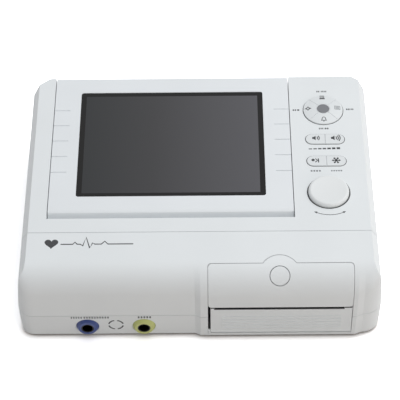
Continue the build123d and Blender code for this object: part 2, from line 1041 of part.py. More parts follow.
def press_key(name, cap, flange, stub, crown, rounding):
    """A key cap with its retaining flange and the stub that meets the rubber dome."""
    with BuildPart() as key:
        with BuildSketch(Plane.XY.offset(flange_top)):
            add(cap)
        extrude(amount=panel_height + pad_crown_rise - flange_top)
        add(crown, mode=Mode.INTERSECT)
        fillet(faces().sort_by(Axis.Z)[-1].edges(), radius=rounding)
        with BuildSketch(Plane.XY.offset(flange_bottom)):
            add(flange)
        extrude(amount=key_flange_thick)
        with Locations((*stub, flange_bottom)):
            Cylinder(stub_radius, stub_length, align=(Align.CENTER, Align.CENTER, Align.MAX))
    keep(key, name)


ok_hole = ok_radius + key_gap
ok_flange = ok_radius + key_flange
ok_flange_bottom = flange_bottom - key_flange_thick
stub_reach = (ok_hole + pad_radius) / 2
sector_turns = {"key_right": 0, "key_up": 90, "key_left": 180, "key_down": 270}
dome_spots = [(panel_middle_x, pad_y)]
for name, turn in sector_turns.items():
    spot = (
        panel_middle_x + stub_reach * cos(radians(turn)),
        pad_y + stub_reach * sin(radians(turn)),
    )
    press_key(
        name,
        sector_outline(turn, pad_radius - key_gap, ok_hole),
        sector_outline(turn, pad_radius + key_flange, ok_flange + key_gap),
        spot,
        pad_crown.part,
        pad_round,
    )
    dome_spots.append(spot)

pill_keys = {
    "key_volume_down": (pill_rear_y, -1),
    "key_volume_up": (pill_rear_y, 1),
    "key_event": (pill_front_y, -1),
    "key_freeze": (pill_front_y, 1),
}
for name, (row_y, side) in pill_keys.items():
    spot = (panel_middle_x + side * pill_length / 4, row_y)
    press_key(
        name,
        pill_outline(row_y, side, -key_gap),
        pill_outline(row_y, side, key_flange),
        spot,
        pill_crown.part,
        key_round,
    )
    dome_spots.append(spot)

with BuildPart() as key_ok:
    with Locations((panel_middle_x, pad_y, ok_flange_bottom)):
        Cylinder(ok_flange, key_flange_thick, align=(Align.CENTER, Align.CENTER, Align.MIN))
        Cylinder(
            ok_radius,
            panel_height + pad_crown_rise - ok_flange_bottom,
            align=(Align.CENTER, Align.CENTER, Align.MIN),
        )
    fillet(faces().sort_by(Axis.Z)[-1].edges(), radius=pad_round)
keep(key_ok, "key_ok")

encoder_clear = encoder_side + 2 * seat_gap
with BuildPart() as keypad_mat:
    with BuildSketch(Plane.XY.offset(panel_board_top)):
        with Locations((panel_board_middle, panel_board_centre_y)):
            Rectangle(panel_board_width, panel_board_length)
        with Locations((panel_middle_x, dial_y)):
            Rectangle(encoder_clear, encoder_clear, mode=Mode.SUBTRACT)
    extrude(amount=mat_thick)
    for x, y in dome_spots[1:]:
        with Locations((x, y, mat_top)):
            Cone(
                dome_radius,
                stub_radius,
                dome_height,
                align=(Align.CENTER, Align.CENTER, Align.MIN),
            )
    with Locations((*dome_spots[0], mat_top)):
        Cone(
            dome_radius,
            stub_radius,
            ok_flange_bottom - mat_top - key_travel - dome_gap,
            align=(Align.CENTER, Align.CENTER, Align.MIN),
        )
keep(keypad_mat, "keypad_mat")

panel_board_bottom = panel_board_top - board_thick
with BuildPart() as keypad_board:
    with BuildSketch(Plane.XY.offset(panel_board_bottom)):
        with Locations((panel_board_middle, panel_board_centre_y)):
            Rectangle(panel_board_width, panel_board_length)
    extrude(amount=board_thick)
keep(keypad_board, "keypad_board")

# Dial with its push encoder
shaft_bottom = panel_board_top + 2 * seat_gap + dial_travel + pusher_height
dial_bottom = panel_height - dial_sink
dial_top = dial_bottom + dial_height
hub_bottom = dial_bottom + dial_travel
hub_radius = 6
with BuildPart() as encoder_body:
    with Locations((panel_middle_x, dial_y, panel_board_top)):
        Box(
            encoder_side,
            encoder_side,
            encoder_height,
            align=(Align.CENTER, Align.CENTER, Align.MIN),
        )
        Cylinder(
            encoder_bush_radius,
            dial_bottom - seat_gap - panel_board_top,
            align=(Align.CENTER, Align.CENTER, Align.MIN),
        )
        Cylinder(
            encoder_shaft_radius + run_gap,
            panel_height,
            mode=Mode.SUBTRACT,
        )
keep(encoder_body, "encoder_body")

with BuildPart() as encoder_pusher:
    with Locations((panel_middle_x, dial_y, shaft_bottom - run_gap)):
        Cylinder(pusher_radius, pusher_height, align=(Align.CENTER, Align.CENTER, Align.MAX))
keep(encoder_pusher, "encoder_pusher")

shaft_top = dial_top - dial_dish - dial_cap
with BuildPart() as encoder_shaft:
    with Locations((panel_middle_x, dial_y, shaft_bottom)):
        Cylinder(
            encoder_shaft_radius,
            shaft_top - shaft_bottom,
            align=(Align.CENTER, Align.CENTER, Align.MIN),
        )
keep(encoder_shaft, "encoder_shaft")

dish_reach = dial_radius - dial_round
dish_radius = (dish_reach**2 + dial_dish**2) / (2 * dial_dish)
dial_plane = Plane(origin=(panel_middle_x, dial_y, 0), x_dir=(1, 0, 0), z_dir=(0, -1, 0))
with BuildPart() as dial_knob:
    with BuildSketch(dial_plane):
        with BuildLine():
            skirt = CenterArc(
                (dial_radius - dial_round, dial_top - dial_round), dial_round, 0, 90
            )
            dish = JernArc(
                (0, dial_top - dial_dish),
                (1, 0),
                dish_radius,
                degrees(asin(dish_reach / dish_radius)),
            )
            Polyline(
                dish @ 0,
                (0, shaft_top),
                (encoder_shaft_radius, shaft_top),
                (encoder_shaft_radius, hub_bottom),
                (hub_radius, hub_bottom),
                (hub_radius, dial_top - dial_dish - dial_wall),
                (dial_radius - dial_round, dial_top - dial_dish - dial_wall),
                (dial_radius - dial_wall, dial_top - dial_round - dial_wall),
                (dial_radius - dial_wall, dial_bottom),
                (dial_radius, dial_bottom),
                skirt @ 0,
            )
        make_face()
    revolve(axis=Axis((panel_middle_x, dial_y, 0), (0, 0, 1)))
keep(dial_knob, "dial_knob")

# Recorder door
apron_front_y = apron_set_back - half_depth
apron_back_y = apron_front_y + apron_thick
cheek_bottom = hinge_height + hinge_barrel_radius + cheek_lift
cheek_rear_y = apron_back_y + cheek_depth
flange_depth = 5.3
flange_thick = 1
middle_form = housing_form(wall / 2)

keeper_seat_y = latch_nose_y - latch_nose_gap
keeper_hump_y = keeper_seat_y - 3 * latch_nose_gap
keeper_hump_height = bridge_height + keeper_hump
keeper_depth = (keeper_hump_y - button_y) * sin(radians(door_angle)) + (
    button_height - keeper_hump_height
) * cos(radians(door_angle))
stem_depth = keeper_depth - keeper_thick - seat_gap

with BuildPart() as cover_inside:
    for x in (cheek_left_x, cheek_right_x):
        span_box((x, x + cheek_thick), (apron_back_y, cheek_rear_y), (cheek_bottom, panel_height))
    with BuildSketch(door_plane):
        Circle(guide_radius)
    extrude(amount=-guide_depth)
    span_box(
        (button_x - latch_nose_width / 2, button_x + latch_nose_width / 2),
        (latch_nose_y, latch_nose_y + latch_nose_thick),
        (latch_nose_tip, panel_height),
    )
    add(middle_form, mode=Mode.INTERSECT)
    with BuildSketch(door_plane):
        Circle(guide_bore_radius)
    extrude(amount=-guide_depth, mode=Mode.SUBTRACT)

with BuildPart() as recorder_cover:
    add(outer_form)
    add(door_zone(slide_gap, slot_top_height), mode=Mode.INTERSECT)
    low_corners = recorder_cover.edges().filter_by(Axis.Y).group_by(Axis.Z)[0]
    fillet(low_corners, radius=door_corner)
    add(inner_form, mode=Mode.SUBTRACT)
    add(cover_inside.part)
    with BuildSketch(door_plane):
        Circle(button_radius + button_gap)
    extrude(amount=guide_depth / 2, both=True, mode=Mode.SUBTRACT)
keep(recorder_cover, "recorder_cover")

with BuildPart() as paper_apron:
    slot_left = door_middle_x - slot_length / 2 - slot_offset
    slot_right = slot_left + slot_length
    ear_top = slot_top_height - lip_gap
    with BuildSketch(Plane.XZ.offset(-apron_back_y)):
        with BuildLine():
            Polyline(
                (apron_left, hinge_height),
                (apron_right, hinge_height),
                (apron_right, ear_top),
                (slot_right, ear_top),
                (slot_right, slot_bottom_height),
                (slot_left, slot_bottom_height),
                (slot_left, ear_top),
                (apron_left, ear_top),
                close=True,
            )
        make_face()
    extrude(amount=apron_thick)
    rod(apron_left, apron_right, hinge_barrel_radius, hinge_y, hinge_height)
    for row in range(rib_count):
        rib_height = rib_low_height + row * rib_pitch
        span_box(
            (rib_left, rib_right),
            (apron_front_y - rib_rise, apron_front_y),
            (rib_height - rib_width / 2, rib_height + rib_width / 2),
        )
    rod(
        apron_left,
        apron_right,
        hinge_pin_radius + run_gap,
        hinge_y,
        hinge_height,
        mode=Mode.SUBTRACT,
    )
keep(paper_apron, "paper_apron")

with BuildPart() as door_hinge_pin:
    rod(
        door_left - pin_lug_width,
        door_right + pin_lug_width,
        hinge_pin_radius,
        hinge_y,
        hinge_height,
    )
keep(door_hinge_pin, "door_hinge_pin")

head_bottom = platen_height + platen_radius + head_contact_gap
head_top = head_bottom + head_thick
head_front_y = platen_y - head_depth / 2
head_rear_y = platen_y + head_depth / 2
bracket_gap = 2
with BuildPart() as print_head:
    span_box(
        (plate_left_x + plate_thick + bracket_gap, plate_right_x - bracket_gap),
        (head_front_y, head_rear_y),
        (head_bottom, head_top),
    )
    head_ridges = print_head.edges().filter_by(Axis.X).group_by(Axis.Z)[0]
    chamfer(head_ridges, length=head_thick / 4)
keep(print_head, "print_head")

with BuildPart() as head_bracket:
    span_box(
        (cheek_left_x + cheek_thick, cheek_right_x),
        (head_front_y - bracket_gap, head_rear_y - head_bracket_thick),
        (head_top, head_top + head_bracket_thick),
    )
    span_box(
        (plate_left_x + plate_thick, plate_right_x),
        (head_rear_y - 2 * head_bracket_thick, head_rear_y - head_bracket_thick),
        (head_top, head_top + head_thick),
    )
keep(head_bracket, "head_bracket")

with BuildPart() as latch_guide:
    with BuildSketch(door_plane.offset(-guide_depth)):
        Circle(guide_radius)
        Circle(stem_radius + seat_gap, mode=Mode.SUBTRACT)
    extrude(amount=-guide_thick)
keep(latch_guide, "latch_guide")

with BuildPart() as latch_button:
    with BuildSketch(door_plane.offset(-flange_depth)):
        Circle(button_radius)
    extrude(amount=2 * flange_depth)
    add(outer_form, mode=Mode.INTERSECT)
    with BuildSketch(door_plane.offset(-flange_depth)):
        Circle(flange_radius)
    extrude(amount=-flange_thick)
    with BuildSketch(door_plane.offset(-flange_depth - flange_thick)):
        Circle(stem_radius)
    extrude(amount=flange_depth + flange_thick - stem_depth)
keep(latch_button, "latch_button")

with BuildPart() as latch_keeper:
    tail_run = 9
    tail_drop = tail_run * sin(radians(door_angle)) / cos(radians(door_angle))
    with BuildSketch(Plane.YZ.offset(button_x - keeper_width / 2)):
        with BuildLine():
            leaf = Polyline(
                (bridge_rear_y, bridge_height),
                (keeper_seat_y, bridge_height),
                (keeper_seat_y - latch_nose_gap, keeper_hump_height),
                (keeper_hump_y, keeper_hump_height),
                (keeper_hump_y - tail_run, keeper_hump_height - tail_drop),
            )
            offset(leaf, amount=keeper_thick, side=Side.RIGHT, closed=True)
        make_face()
    extrude(amount=keeper_width)
keep(latch_keeper, "latch_keeper")

# Recorder frame and its paper tray
foot_flange = 8
pilot_radius = 5
bridge_gap = 2
stop_low = frame_stop_height - frame_stop_width / 2
stop_high = frame_stop_height + frame_stop_width / 2
stop_front_y = apron_back_y + seat_gap
idler_bearing = radians(idler_bearing_degrees)
pinion_bearing = radians(pinion_bearing_degrees)
idler_reach = gear_module * (platen_teeth + idler_teeth) / 2
pinion_reach = gear_module * (idler_teeth + pinion_teeth) / 2
idler_y = platen_y + idler_reach * cos(idler_bearing)
idler_height = platen_height + idler_reach * sin(idler_bearing)
pinion_y = idler_y + pinion_reach * cos(pinion_bearing)
pinion_height = idler_height + pinion_reach * sin(pinion_bearing)
plate_left_inner = plate_left_x + plate_thick
plate_right_outer = plate_right_x + plate_thick
gear_left = plate_right_outer + gear_gap
gear_right = gear_left + gear_face
motor_rear_y = pinion_y + motor_radius + seat_gap


def frame_plate(x, holes):
    """One side plate of the recorder, with round holes at the given places."""
    with BuildSketch(Plane.YZ.offset(x)) as plate:
        with BuildLine():
            Polyline(
                (frame_front_y, base_floor),
                (frame_front_y, stop_low),
                (stop_front_y, stop_low),
                (stop_front_y, stop_high),
                (frame_front_y, stop_high),
                (frame_front_y, frame_front_height),
                (bridge_front_y - bridge_gap, frame_front_height),
                (bridge_front_y, bridge_height),
                (motor_rear_y, bridge_height),
                (tub_front - wall - bridge_gap, frame_front_height),
                (frame_rear_y, frame_rear_height),
                (frame_rear_y, base_floor),
                close=True,
            )
        make_face()
        for y, z, radius in holes:
            with Locations((y, z)):
                Circle(radius, mode=Mode.SUBTRACT)
    extrude(plate.sketch, amount=plate_thick)


with BuildPart() as recorder_frame:
    frame_plate(plate_left_x, [(platen_y, platen_height, plate_bush_radius)])
    frame_plate(
        plate_right_x,
        [
            (platen_y, platen_height, plate_bush_radius),
            (idler_y, idler_height, idler_stud_radius),
            (pinion_y, pinion_height, pilot_radius),
        ],
    )
    span_box(
        (plate_left_x, plate_right_outer),
        (bridge_front_y, bridge_rear_y),
        (bridge_height - bridge_thick, bridge_height),
    )
    span_box(
        (plate_left_x, plate_right_outer),
        (frame_rear_y - foot_flange, frame_rear_y),
        (base_floor, tray_floor_height),
    )
    for x in (plate_left_inner + foot_flange / 2, plate_right_x - foot_flange / 2):
        span_box(
            (x - foot_flange / 2, x + foot_flange / 2),
            (frame_front_y, frame_rear_y),
            (base_floor, tray_floor_height),
        )
keep(recorder_frame, "recorder_frame")

with BuildPart() as paper_tray:
    span_box(
        (plate_left_inner, plate_right_x),
        (tray_front_y, tray_rear_y),
        (tray_floor_height, tray_height),
    )
    span_box(
        (plate_left_inner + tray_wall, plate_right_x - tray_wall),
        (tray_front_y, tray_rear_y - tray_wall),
        (tray_floor_height + tray_wall, tray_height),
        mode=Mode.SUBTRACT,
    )
    low_edges = paper_tray.edges().filter_by(Axis.X).group_by(Axis.Z)[1]
    fillet(low_edges.sort_by(Axis.Y)[-1], radius=tray_bend)
keep(paper_tray, "paper_tray")

# Platen and its gear train
shaft_end_gap = 0.3
clip_reach = 0.9
roller_left = plate_left_inner + platen_end_gap
roller_right = plate_right_x - platen_end_gap
with BuildPart() as platen_roller:
    rod(roller_left, roller_right, platen_radius, platen_y, platen_height)
    rod(
        roller_left,
        roller_right,
        platen_shaft_radius,
        platen_y,
        platen_height,
        mode=Mode.SUBTRACT,
    )
keep(platen_roller, "platen_roller")

with BuildPart() as platen_shaft:
    rod(
        plate_left_x - shaft_end_gap,
        gear_right + shaft_end_gap,
        platen_shaft_radius,
        platen_y,
        platen_height,
    )
keep(platen_shaft, "platen_shaft")

bush_flange_thick = 1
with BuildPart() as platen_bushes:
    for x, inner in ((plate_left_x, plate_left_inner), (plate_right_x, plate_right_x)):
        rod(x, x + plate_thick, plate_bush_radius, platen_y, platen_height)
        shift = bush_flange_thick if inner == plate_left_inner else -bush_flange_thick
        rod(*sorted((inner, inner + shift)), plate_bush_flange, platen_y, platen_height)
    rod(
        plate_left_x,
        plate_right_outer,
        platen_shaft_radius + run_gap,
        platen_y,
        platen_height,
        mode=Mode.SUBTRACT,
    )
keep(platen_bushes, "platen_bushes")

tooth_root_share = 0.24
tooth_tip_share = 0.11


def gear(name, teeth, bore, y, z, first_tooth):
    """A spur gear about X whose first tooth points at the given angle."""
    pitch_radius = gear_module * teeth / 2
    root_radius = pitch_radius - gear_module * 5 / 4
    tip_radius = pitch_radius + gear_module * 4 / 5
    tooth_pitch = gear_module * pi
    with BuildPart() as wheel:
        with BuildSketch(Plane.YZ.offset(gear_left)):
            with Locations((y, z)):
                Circle(root_radius)
                with PolarLocations(0, teeth, start_angle=first_tooth):
                    Polygon(
                        (root_radius - gear_module / 2, -tooth_pitch * tooth_root_share),
                        (tip_radius, -tooth_pitch * tooth_tip_share),
                        (tip_radius, tooth_pitch * tooth_tip_share),
                        (root_radius - gear_module / 2, tooth_pitch * tooth_root_share),
                        align=None,
                    )
                Circle(bore, mode=Mode.SUBTRACT)
        extrude(amount=gear_face)
    keep(wheel, name)


half_tooth = 180 / idler_teeth
gear("platen_gear", platen_teeth, platen_shaft_radius, platen_y, platen_height, idler_bearing_degrees)
gear(
    "idler_gear",
    idler_teeth,
    idler_stud_radius + run_gap,
    idler_y,
    idler_height,
    idler_bearing_degrees + 180 + half_tooth,
)
pinion_turn = (
    pinion_bearing_degrees
    + 180
    + 180 / pinion_teeth
    + ((pinion_bearing_degrees - idler_bearing_degrees - 180 - half_tooth) % (2 * half_tooth))
    * idler_teeth
    / pinion_teeth
)
gear("pinion_gear", pinion_teeth, motor_shaft_radius, pinion_y, pinion_height, pinion_turn)

with BuildPart() as idler_stud:
    rod(plate_right_x, gear_right + shaft_end_gap, idler_stud_radius, idler_y, idler_height)
    rod(
        gear_right + shaft_end_gap,
        gear_right + shaft_end_gap + keeper_thick,
        idler_stud_radius + clip_reach,
        idler_y,
        idler_height,
    )
keep(idler_stud, "idler_stud")

motor_shaft_depth = 8
flange_slot_width = 8
with BuildPart() as stepper_motor:
    rod(plate_right_x - motor_length, plate_right_x, motor_radius, pinion_y, pinion_height)
    with BuildSketch(Plane.YZ.offset(plate_right_x)):
        with Locations((pinion_y, pinion_height)):
            SlotOverall(motor_tab_span, flange_slot_width, rotation=90)
    extrude(amount=-flange_thick)
    rod(
        plate_right_x,
        plate_right_outer,
        pilot_radius - run_gap,
        pinion_y,
        pinion_height,
    )
    rod(
        plate_right_x - motor_shaft_depth,
        plate_right_outer,
        motor_shaft_radius + run_gap,
        pinion_y,
        pinion_height,
        mode=Mode.SUBTRACT,
    )
keep(stepper_motor, "stepper_motor")

with BuildPart() as motor_shaft:
    rod(
        plate_right_x - motor_shaft_depth + shaft_end_gap,
        gear_right + shaft_end_gap,
        motor_shaft_radius,
        pinion_y,
        pinion_height,
    )
keep(motor_shaft, "motor_shaft")

# Probe sockets
nose_tip_y = collar_front_y + seat_gap
insert_face_y = nose_tip_y + socket_bore_depth
socket_tail_y = collar_back_y + socket_length


def socket_collar(x):
    """A coloured ring that screws over the nose of a socket."""
    with BuildPart() as collar:
        with BuildSketch(Plane.XZ.offset(-collar_back_y)):
            with Locations((x, socket_height)):
                Circle(collar_radius)
        with BuildSketch(Plane.XZ.offset(-collar_front_y)):
            with Locations((x, socket_height)):
                Circle(collar_face_radius)
        loft()
        bar(collar_front_y, collar_back_y, socket_nose_radius + run_gap, x, mode=Mode.SUBTRACT)
    return collar


keep(socket_collar(socket_blue_x), "socket_collar_blue")
keep(socket_collar(socket_green_x), "socket_collar_green")

with BuildPart() as socket_shells:
    for x in (socket_blue_x, socket_green_x):
        bar(collar_back_y, socket_tail_y, socket_shell_radius, x)
        bar(nose_tip_y, collar_back_y, socket_nose_radius, x)
        bar(nose_tip_y, insert_face_y, socket_bore, x, mode=Mode.SUBTRACT)
        bar(insert_face_y, socket_tail_y, insert_radius, x, mode=Mode.SUBTRACT)
keep(socket_shells, "socket_shells")

with BuildPart() as socket_inserts:
    for x in (socket_blue_x, socket_green_x):
        bar(insert_face_y, insert_face_y + insert_thick, insert_radius - run_gap, x)
        with BuildSketch(Plane.XZ.offset(-insert_face_y)):
            with Locations((x, socket_height)):
                with PolarLocations(contact_circle_radius, contact_count):
                    Circle(contact_radius)
        extrude(amount=-contact_depth, mode=Mode.SUBTRACT)
keep(socket_inserts, "socket_inserts")

# Rear panel
inlet_socket_share = 0.3
rocker_share = 0.76
rocker_tip = 6.5
rocker_rise = 3.2
rocker_valley = 2.2
rocker_setback = 4.3
rocker_pin_radius = 1.2
rocker_radius = sqrt(rocker_tip**2 + rocker_rise**2)
rocker_y = half_depth - rocker_setback
inlet_socket_z = inlet_bottom + inlet_height * inlet_socket_share
rocker_z = inlet_bottom + inlet_height * rocker_share
rocker_left = inlet_x - rocker_width / 2
rocker_right = inlet_x + rocker_width / 2
with BuildPart() as mains_inlet:
    with BuildSketch(Plane.XZ.offset(-half_depth)):
        with Locations((inlet_x, inlet_middle)):
            RectangleRounded(
                inlet_width + 2 * inlet_flange, inlet_height + 2 * inlet_flange, inlet_flange
            )
    extrude(amount=inlet_flange_thick)
    with BuildSketch(Plane.XZ.offset(-half_depth)):
        with Locations((inlet_x, inlet_middle)):
            Rectangle(inlet_width, inlet_height)
    extrude(amount=inlet_depth)
    with BuildSketch(Plane.XZ.offset(-half_depth)):
        with Locations((inlet_x, inlet_socket_z)):
            Rectangle(inlet_socket_width, inlet_socket_height)
            upper = vertices().group_by(Axis.Y)[-1]
            chamfer(upper, length=inlet_socket_height / 4)
    extrude(amount=inlet_socket_depth, mode=Mode.SUBTRACT)
    with BuildSketch(Plane.XZ.offset(inlet_blade_setback - half_depth)):
        with Locations(
            (inlet_x - blade_spacing / 2, inlet_socket_z),
            (inlet_x, inlet_socket_z + blade_earth_rise),
            (inlet_x + blade_spacing / 2, inlet_socket_z),
        ):
            Rectangle(blade_thick, blade_width)
    extrude(amount=inlet_socket_depth - inlet_blade_setback)
    rod(
        rocker_left - seat_gap,
        rocker_right + seat_gap,
        rocker_radius + seat_gap,
        rocker_y,
        rocker_z,
        mode=Mode.SUBTRACT,
    )
    rod(
        rocker_left - inlet_flange,
        rocker_right + inlet_flange,
        rocker_pin_radius + run_gap,
        rocker_y,
        rocker_z,
        mode=Mode.SUBTRACT,
    )
keep(mains_inlet, "mains_inlet")

rocker_tilt = radians(rocker_angle / 2)
rocker_plane = Plane(
    origin=(rocker_left, rocker_y, rocker_z),
    x_dir=(0, cos(rocker_tilt), -sin(rocker_tilt)),
    z_dir=(1, 0, 0),
)
with BuildPart() as power_rocker:
    with BuildSketch(rocker_plane):
        with BuildLine():
            wings = Polyline(
                (rocker_rise, rocker_tip),
                (rocker_valley, 0),
                (rocker_rise, -rocker_tip),
            )
            ThreePointArc(wings @ 1, (-rocker_radius, 0), wings @ 0)
        make_face()
    extrude(amount=rocker_width)
    rod(
        rocker_left - inlet_flange + seat_gap,
        rocker_right + inlet_flange - seat_gap,
        rocker_pin_radius,
        rocker_y,
        rocker_z,
    )
keep(power_rocker, "power_rocker")

port_rear_y = half_depth - rear_tuck / 2
with BuildPart() as network_port:
    span_box(
        (port_x - port_width / 2, port_x + port_width / 2),
        (port_rear_y - port_length, port_rear_y),
        (port_bottom, port_bottom + port_height),
    )
    span_box(
        (port_x - port_mouth_width / 2, port_x + port_mouth_width / 2),
        (port_rear_y - port_mouth_depth, port_rear_y),
        (
            port_bottom + (port_height - port_mouth_height) / 2,
            port_bottom + (port_height + port_mouth_height) / 2,
        ),
        mode=Mode.SUBTRACT,
    )
keep(network_port, "network_port")

# Underside
with BuildPart() as feet:
    with Locations(foot_spots):
        Cylinder(
            foot_radius - seat_gap,
            floor_height + foot_seat,
            align=(Align.CENTER, Align.CENTER, Align.MIN),
        )
    chamfer(feet.edges().group_by(Axis.Z)[0], length=foot_seat)
keep(feet, "feet")

with BuildPart() as case_screws:
    with Locations([(x, y, screw_seat_height) for x, y in lug_spots]):
        Cylinder(
            screw_radius - run_gap,
            screw_length - seat_gap,
            align=(Align.CENTER, Align.CENTER, Align.MIN),
        )
        Cylinder(
            screw_head_radius - seat_gap,
            screw_head_height,
            align=(Align.CENTER, Align.CENTER, Align.MAX),
        )
keep(case_screws, "case_screws")

grip_count = 5
grip_pitch = 4
grip_length = 24
grip_rise = 0.6
grip_inset = 15
with BuildPart() as battery_door:
    span_box(
        (bay_left + bay_wall + slide_gap, bay_right - bay_wall - slide_gap),
        (bay_front + bay_wall + slide_gap, bay_rear - bay_wall - slide_gap),
        (floor_height, floor_height + door_lid_thick),
    )
    with Locations(((bay_left + bay_right) / 2, bay_rear - grip_inset, floor_height)):
        with GridLocations(0, grip_pitch, 1, grip_count):
            Box(
                grip_length,
                rib_width,
                grip_rise,
                align=(Align.CENTER, Align.CENTER, Align.MAX),
            )
keep(battery_door, "battery_door")

with BuildPart() as battery_pack:
    span_box(
        (bay_left + bay_wall + 2 * bay_ledge, bay_right - bay_wall - 2 * bay_ledge),
        (bay_front + bay_wall + 2 * bay_ledge, bay_rear - bay_wall - 2 * bay_ledge),
        (floor_height + door_lid_thick, bay_height - bay_wall),
    )
    fillet(battery_pack.edges().filter_by(Axis.X), radius=bay_ledge)
keep(battery_pack, "battery_pack")

# Boards and speaker inside the base
speaker_basket = 1.5
magnet_radius = 10
cone_radius = 17
with BuildPart() as speaker:
    with Locations((speaker_x, speaker_y, base_floor)):
        Cylinder(
            speaker_radius, speaker_basket, align=(Align.CENTER, Align.CENTER, Align.MIN)
        )
    with Locations((speaker_x, speaker_y, base_floor + speaker_basket)):
        Cone(
            cone_radius,
            magnet_radius,
            (speaker_height - speaker_basket) / 2,
            align=(Align.CENTER, Align.CENTER, Align.MIN),
        )
    with Locations((speaker_x, speaker_y, base_floor + speaker_height)):
        Cylinder(
            magnet_radius,
            (speaker_height - speaker_basket) / 2,
            align=(Align.CENTER, Align.CENTER, Align.MAX),
        )
keep(speaker, "speaker")

chip_height = 2
chip_side = 14
with BuildPart() as main_board:
    span_box(
        (main_board_left, main_board_right),
        (main_board_front, main_board_rear),
        (main_board_height, port_bottom),
    )
    main_board_middle = (main_board_left + main_board_right) / 2
    main_board_centre_y = (main_board_front + main_board_rear) / 2
    with Locations((main_board_middle, main_board_centre_y, port_bottom)):
        with GridLocations(3 * chip_side, 3 * chip_side, 3, 3):
            Box(
                chip_side,
                chip_side,
                chip_height,
                align=(Align.CENTER, Align.CENTER, Align.MIN),
            )
keep(main_board, "main_board")

power_top = 28
with BuildPart() as power_supply:
    power_board_top = power_board_height + board_thick
    span_box(
        (power_board_left, power_board_right),
        (power_board_front, power_board_rear),
        (power_board_height, power_board_top),
    )
    power_middle_x = (power_board_left + power_board_right) / 2
    power_middle_y = (power_board_front + power_board_rear) / 2
    with Locations((power_middle_x, power_middle_y, power_board_top)):
        Box(
            2 * chip_side,
            2 * chip_side,
            power_top - power_board_top,
            align=(Align.CENTER, Align.CENTER, Align.MIN),
        )
        with GridLocations(5 * chip_side, 1.5 * chip_side, 2, 2):
            Cylinder(
                chip_side / 2,
                power_top - power_board_top,
                align=(Align.CENTER, Align.CENTER, Align.MIN),
            )
keep(power_supply, "power_supply")
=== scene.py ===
# %% [markdown]
# Cardiotocograph, rendered around its imported model
#
# The real object is a bench monitor for the delivery room: a white moulded housing, a screen that
# flips up out of a well, a column of keys with a large dial, and a paper recorder behind a door.
# The imported model already holds every rigid piece at its real size. This lesson gives each piece
# the finish of its real material, adds the print on the keys, and sets up light and a camera.

# %% Load the imported model
from math import cos, pi, radians, sin, sqrt

import bmesh
import bpy
from mathutils import Matrix, Vector


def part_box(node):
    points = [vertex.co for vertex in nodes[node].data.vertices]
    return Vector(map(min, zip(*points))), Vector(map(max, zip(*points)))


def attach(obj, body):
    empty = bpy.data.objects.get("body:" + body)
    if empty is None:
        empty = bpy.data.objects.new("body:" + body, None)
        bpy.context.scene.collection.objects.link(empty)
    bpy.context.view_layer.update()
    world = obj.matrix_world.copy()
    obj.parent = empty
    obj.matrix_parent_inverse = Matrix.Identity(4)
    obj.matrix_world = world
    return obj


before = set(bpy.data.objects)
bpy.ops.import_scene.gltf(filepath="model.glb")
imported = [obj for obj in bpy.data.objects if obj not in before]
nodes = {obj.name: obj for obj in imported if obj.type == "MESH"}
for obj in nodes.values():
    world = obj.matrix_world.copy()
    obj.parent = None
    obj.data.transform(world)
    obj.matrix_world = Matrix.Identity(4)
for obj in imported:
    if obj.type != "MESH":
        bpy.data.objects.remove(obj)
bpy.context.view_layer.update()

# %% [markdown]
# A few small helpers carry all the materials below. Colours are written as the eye reads them, in
# sRGB hex, and Blender wants linear light, so one function turns them. Pattern sizes are written
# in millimetres: a noise texture's scale counts features per metre of object space, so a grain of
# so many millimetres needs a thousand divided by it. Shader nodes could be made and linked one by
# one, but then a material runs over many lines. So one function adds a node with its settings and
# its links, and each material below reads like its recipe.

# %% Helpers for colours, scales and shader nodes
MM = 0.001


def linear(hex_colour):
    """An sRGB hex colour as linear RGBA."""
    channels = [int(hex_colour[i:i + 2], 16) / 255 for i in (1, 3, 5)]
    return [c / 12.92 if c <= 0.04045 else ((c + 0.055) / 1.055) ** 2.4 for c in channels] + [1.0]


def per_metre(size_mm):
    """The texture scale whose features are so many millimetres wide."""
    return 1.0 / (size_mm * MM)


def add_node(tree, kind, inputs=None, settings=None):
    """Add a shader node with its settings; an input is a value or another node's socket."""
    node = tree.nodes.new(kind)
    for name, value in (settings or {}).items():
        setattr(node, name, value)
    for name, value in (inputs or {}).items():
        if isinstance(value, bpy.types.NodeSocket):
            tree.links.new(value, node.inputs[name])
        else:
            node.inputs[name].default_value = value
    return node


def new_material(name):
    """An empty node material and its tree, with only the output node in it."""
    material = bpy.data.materials.new(name)
    material.use_nodes = True
    tree = material.node_tree
    tree.nodes.clear()
    return material, tree


def finish_material(tree, shader):
    """Send a shader to the material's output."""
    add_node(tree, "ShaderNodeOutputMaterial", {"Surface": shader.outputs[0]})


def ramp_between(tree, factor, stops):
    """A colour ramp with (position, hex colour) stops, read by a factor socket."""
    ramp = add_node(tree, "ShaderNodeValToRGB", {"Fac": factor})
    elements = ramp.color_ramp.elements
    while len(elements) > 1:
        elements.remove(elements[-1])
    elements[0].position = stops[0][0]
    elements[0].color = linear(stops[0][1])
    for position, colour in stops[1:]:
        elements.new(position).color = linear(colour)
    return ramp.outputs["Color"]


def object_point(tree):
    """Object coordinates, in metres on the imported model."""
    return add_node(tree, "ShaderNodeTexCoord").outputs["Object"]


print("one millimetre grain reads as scale", per_metre(1))
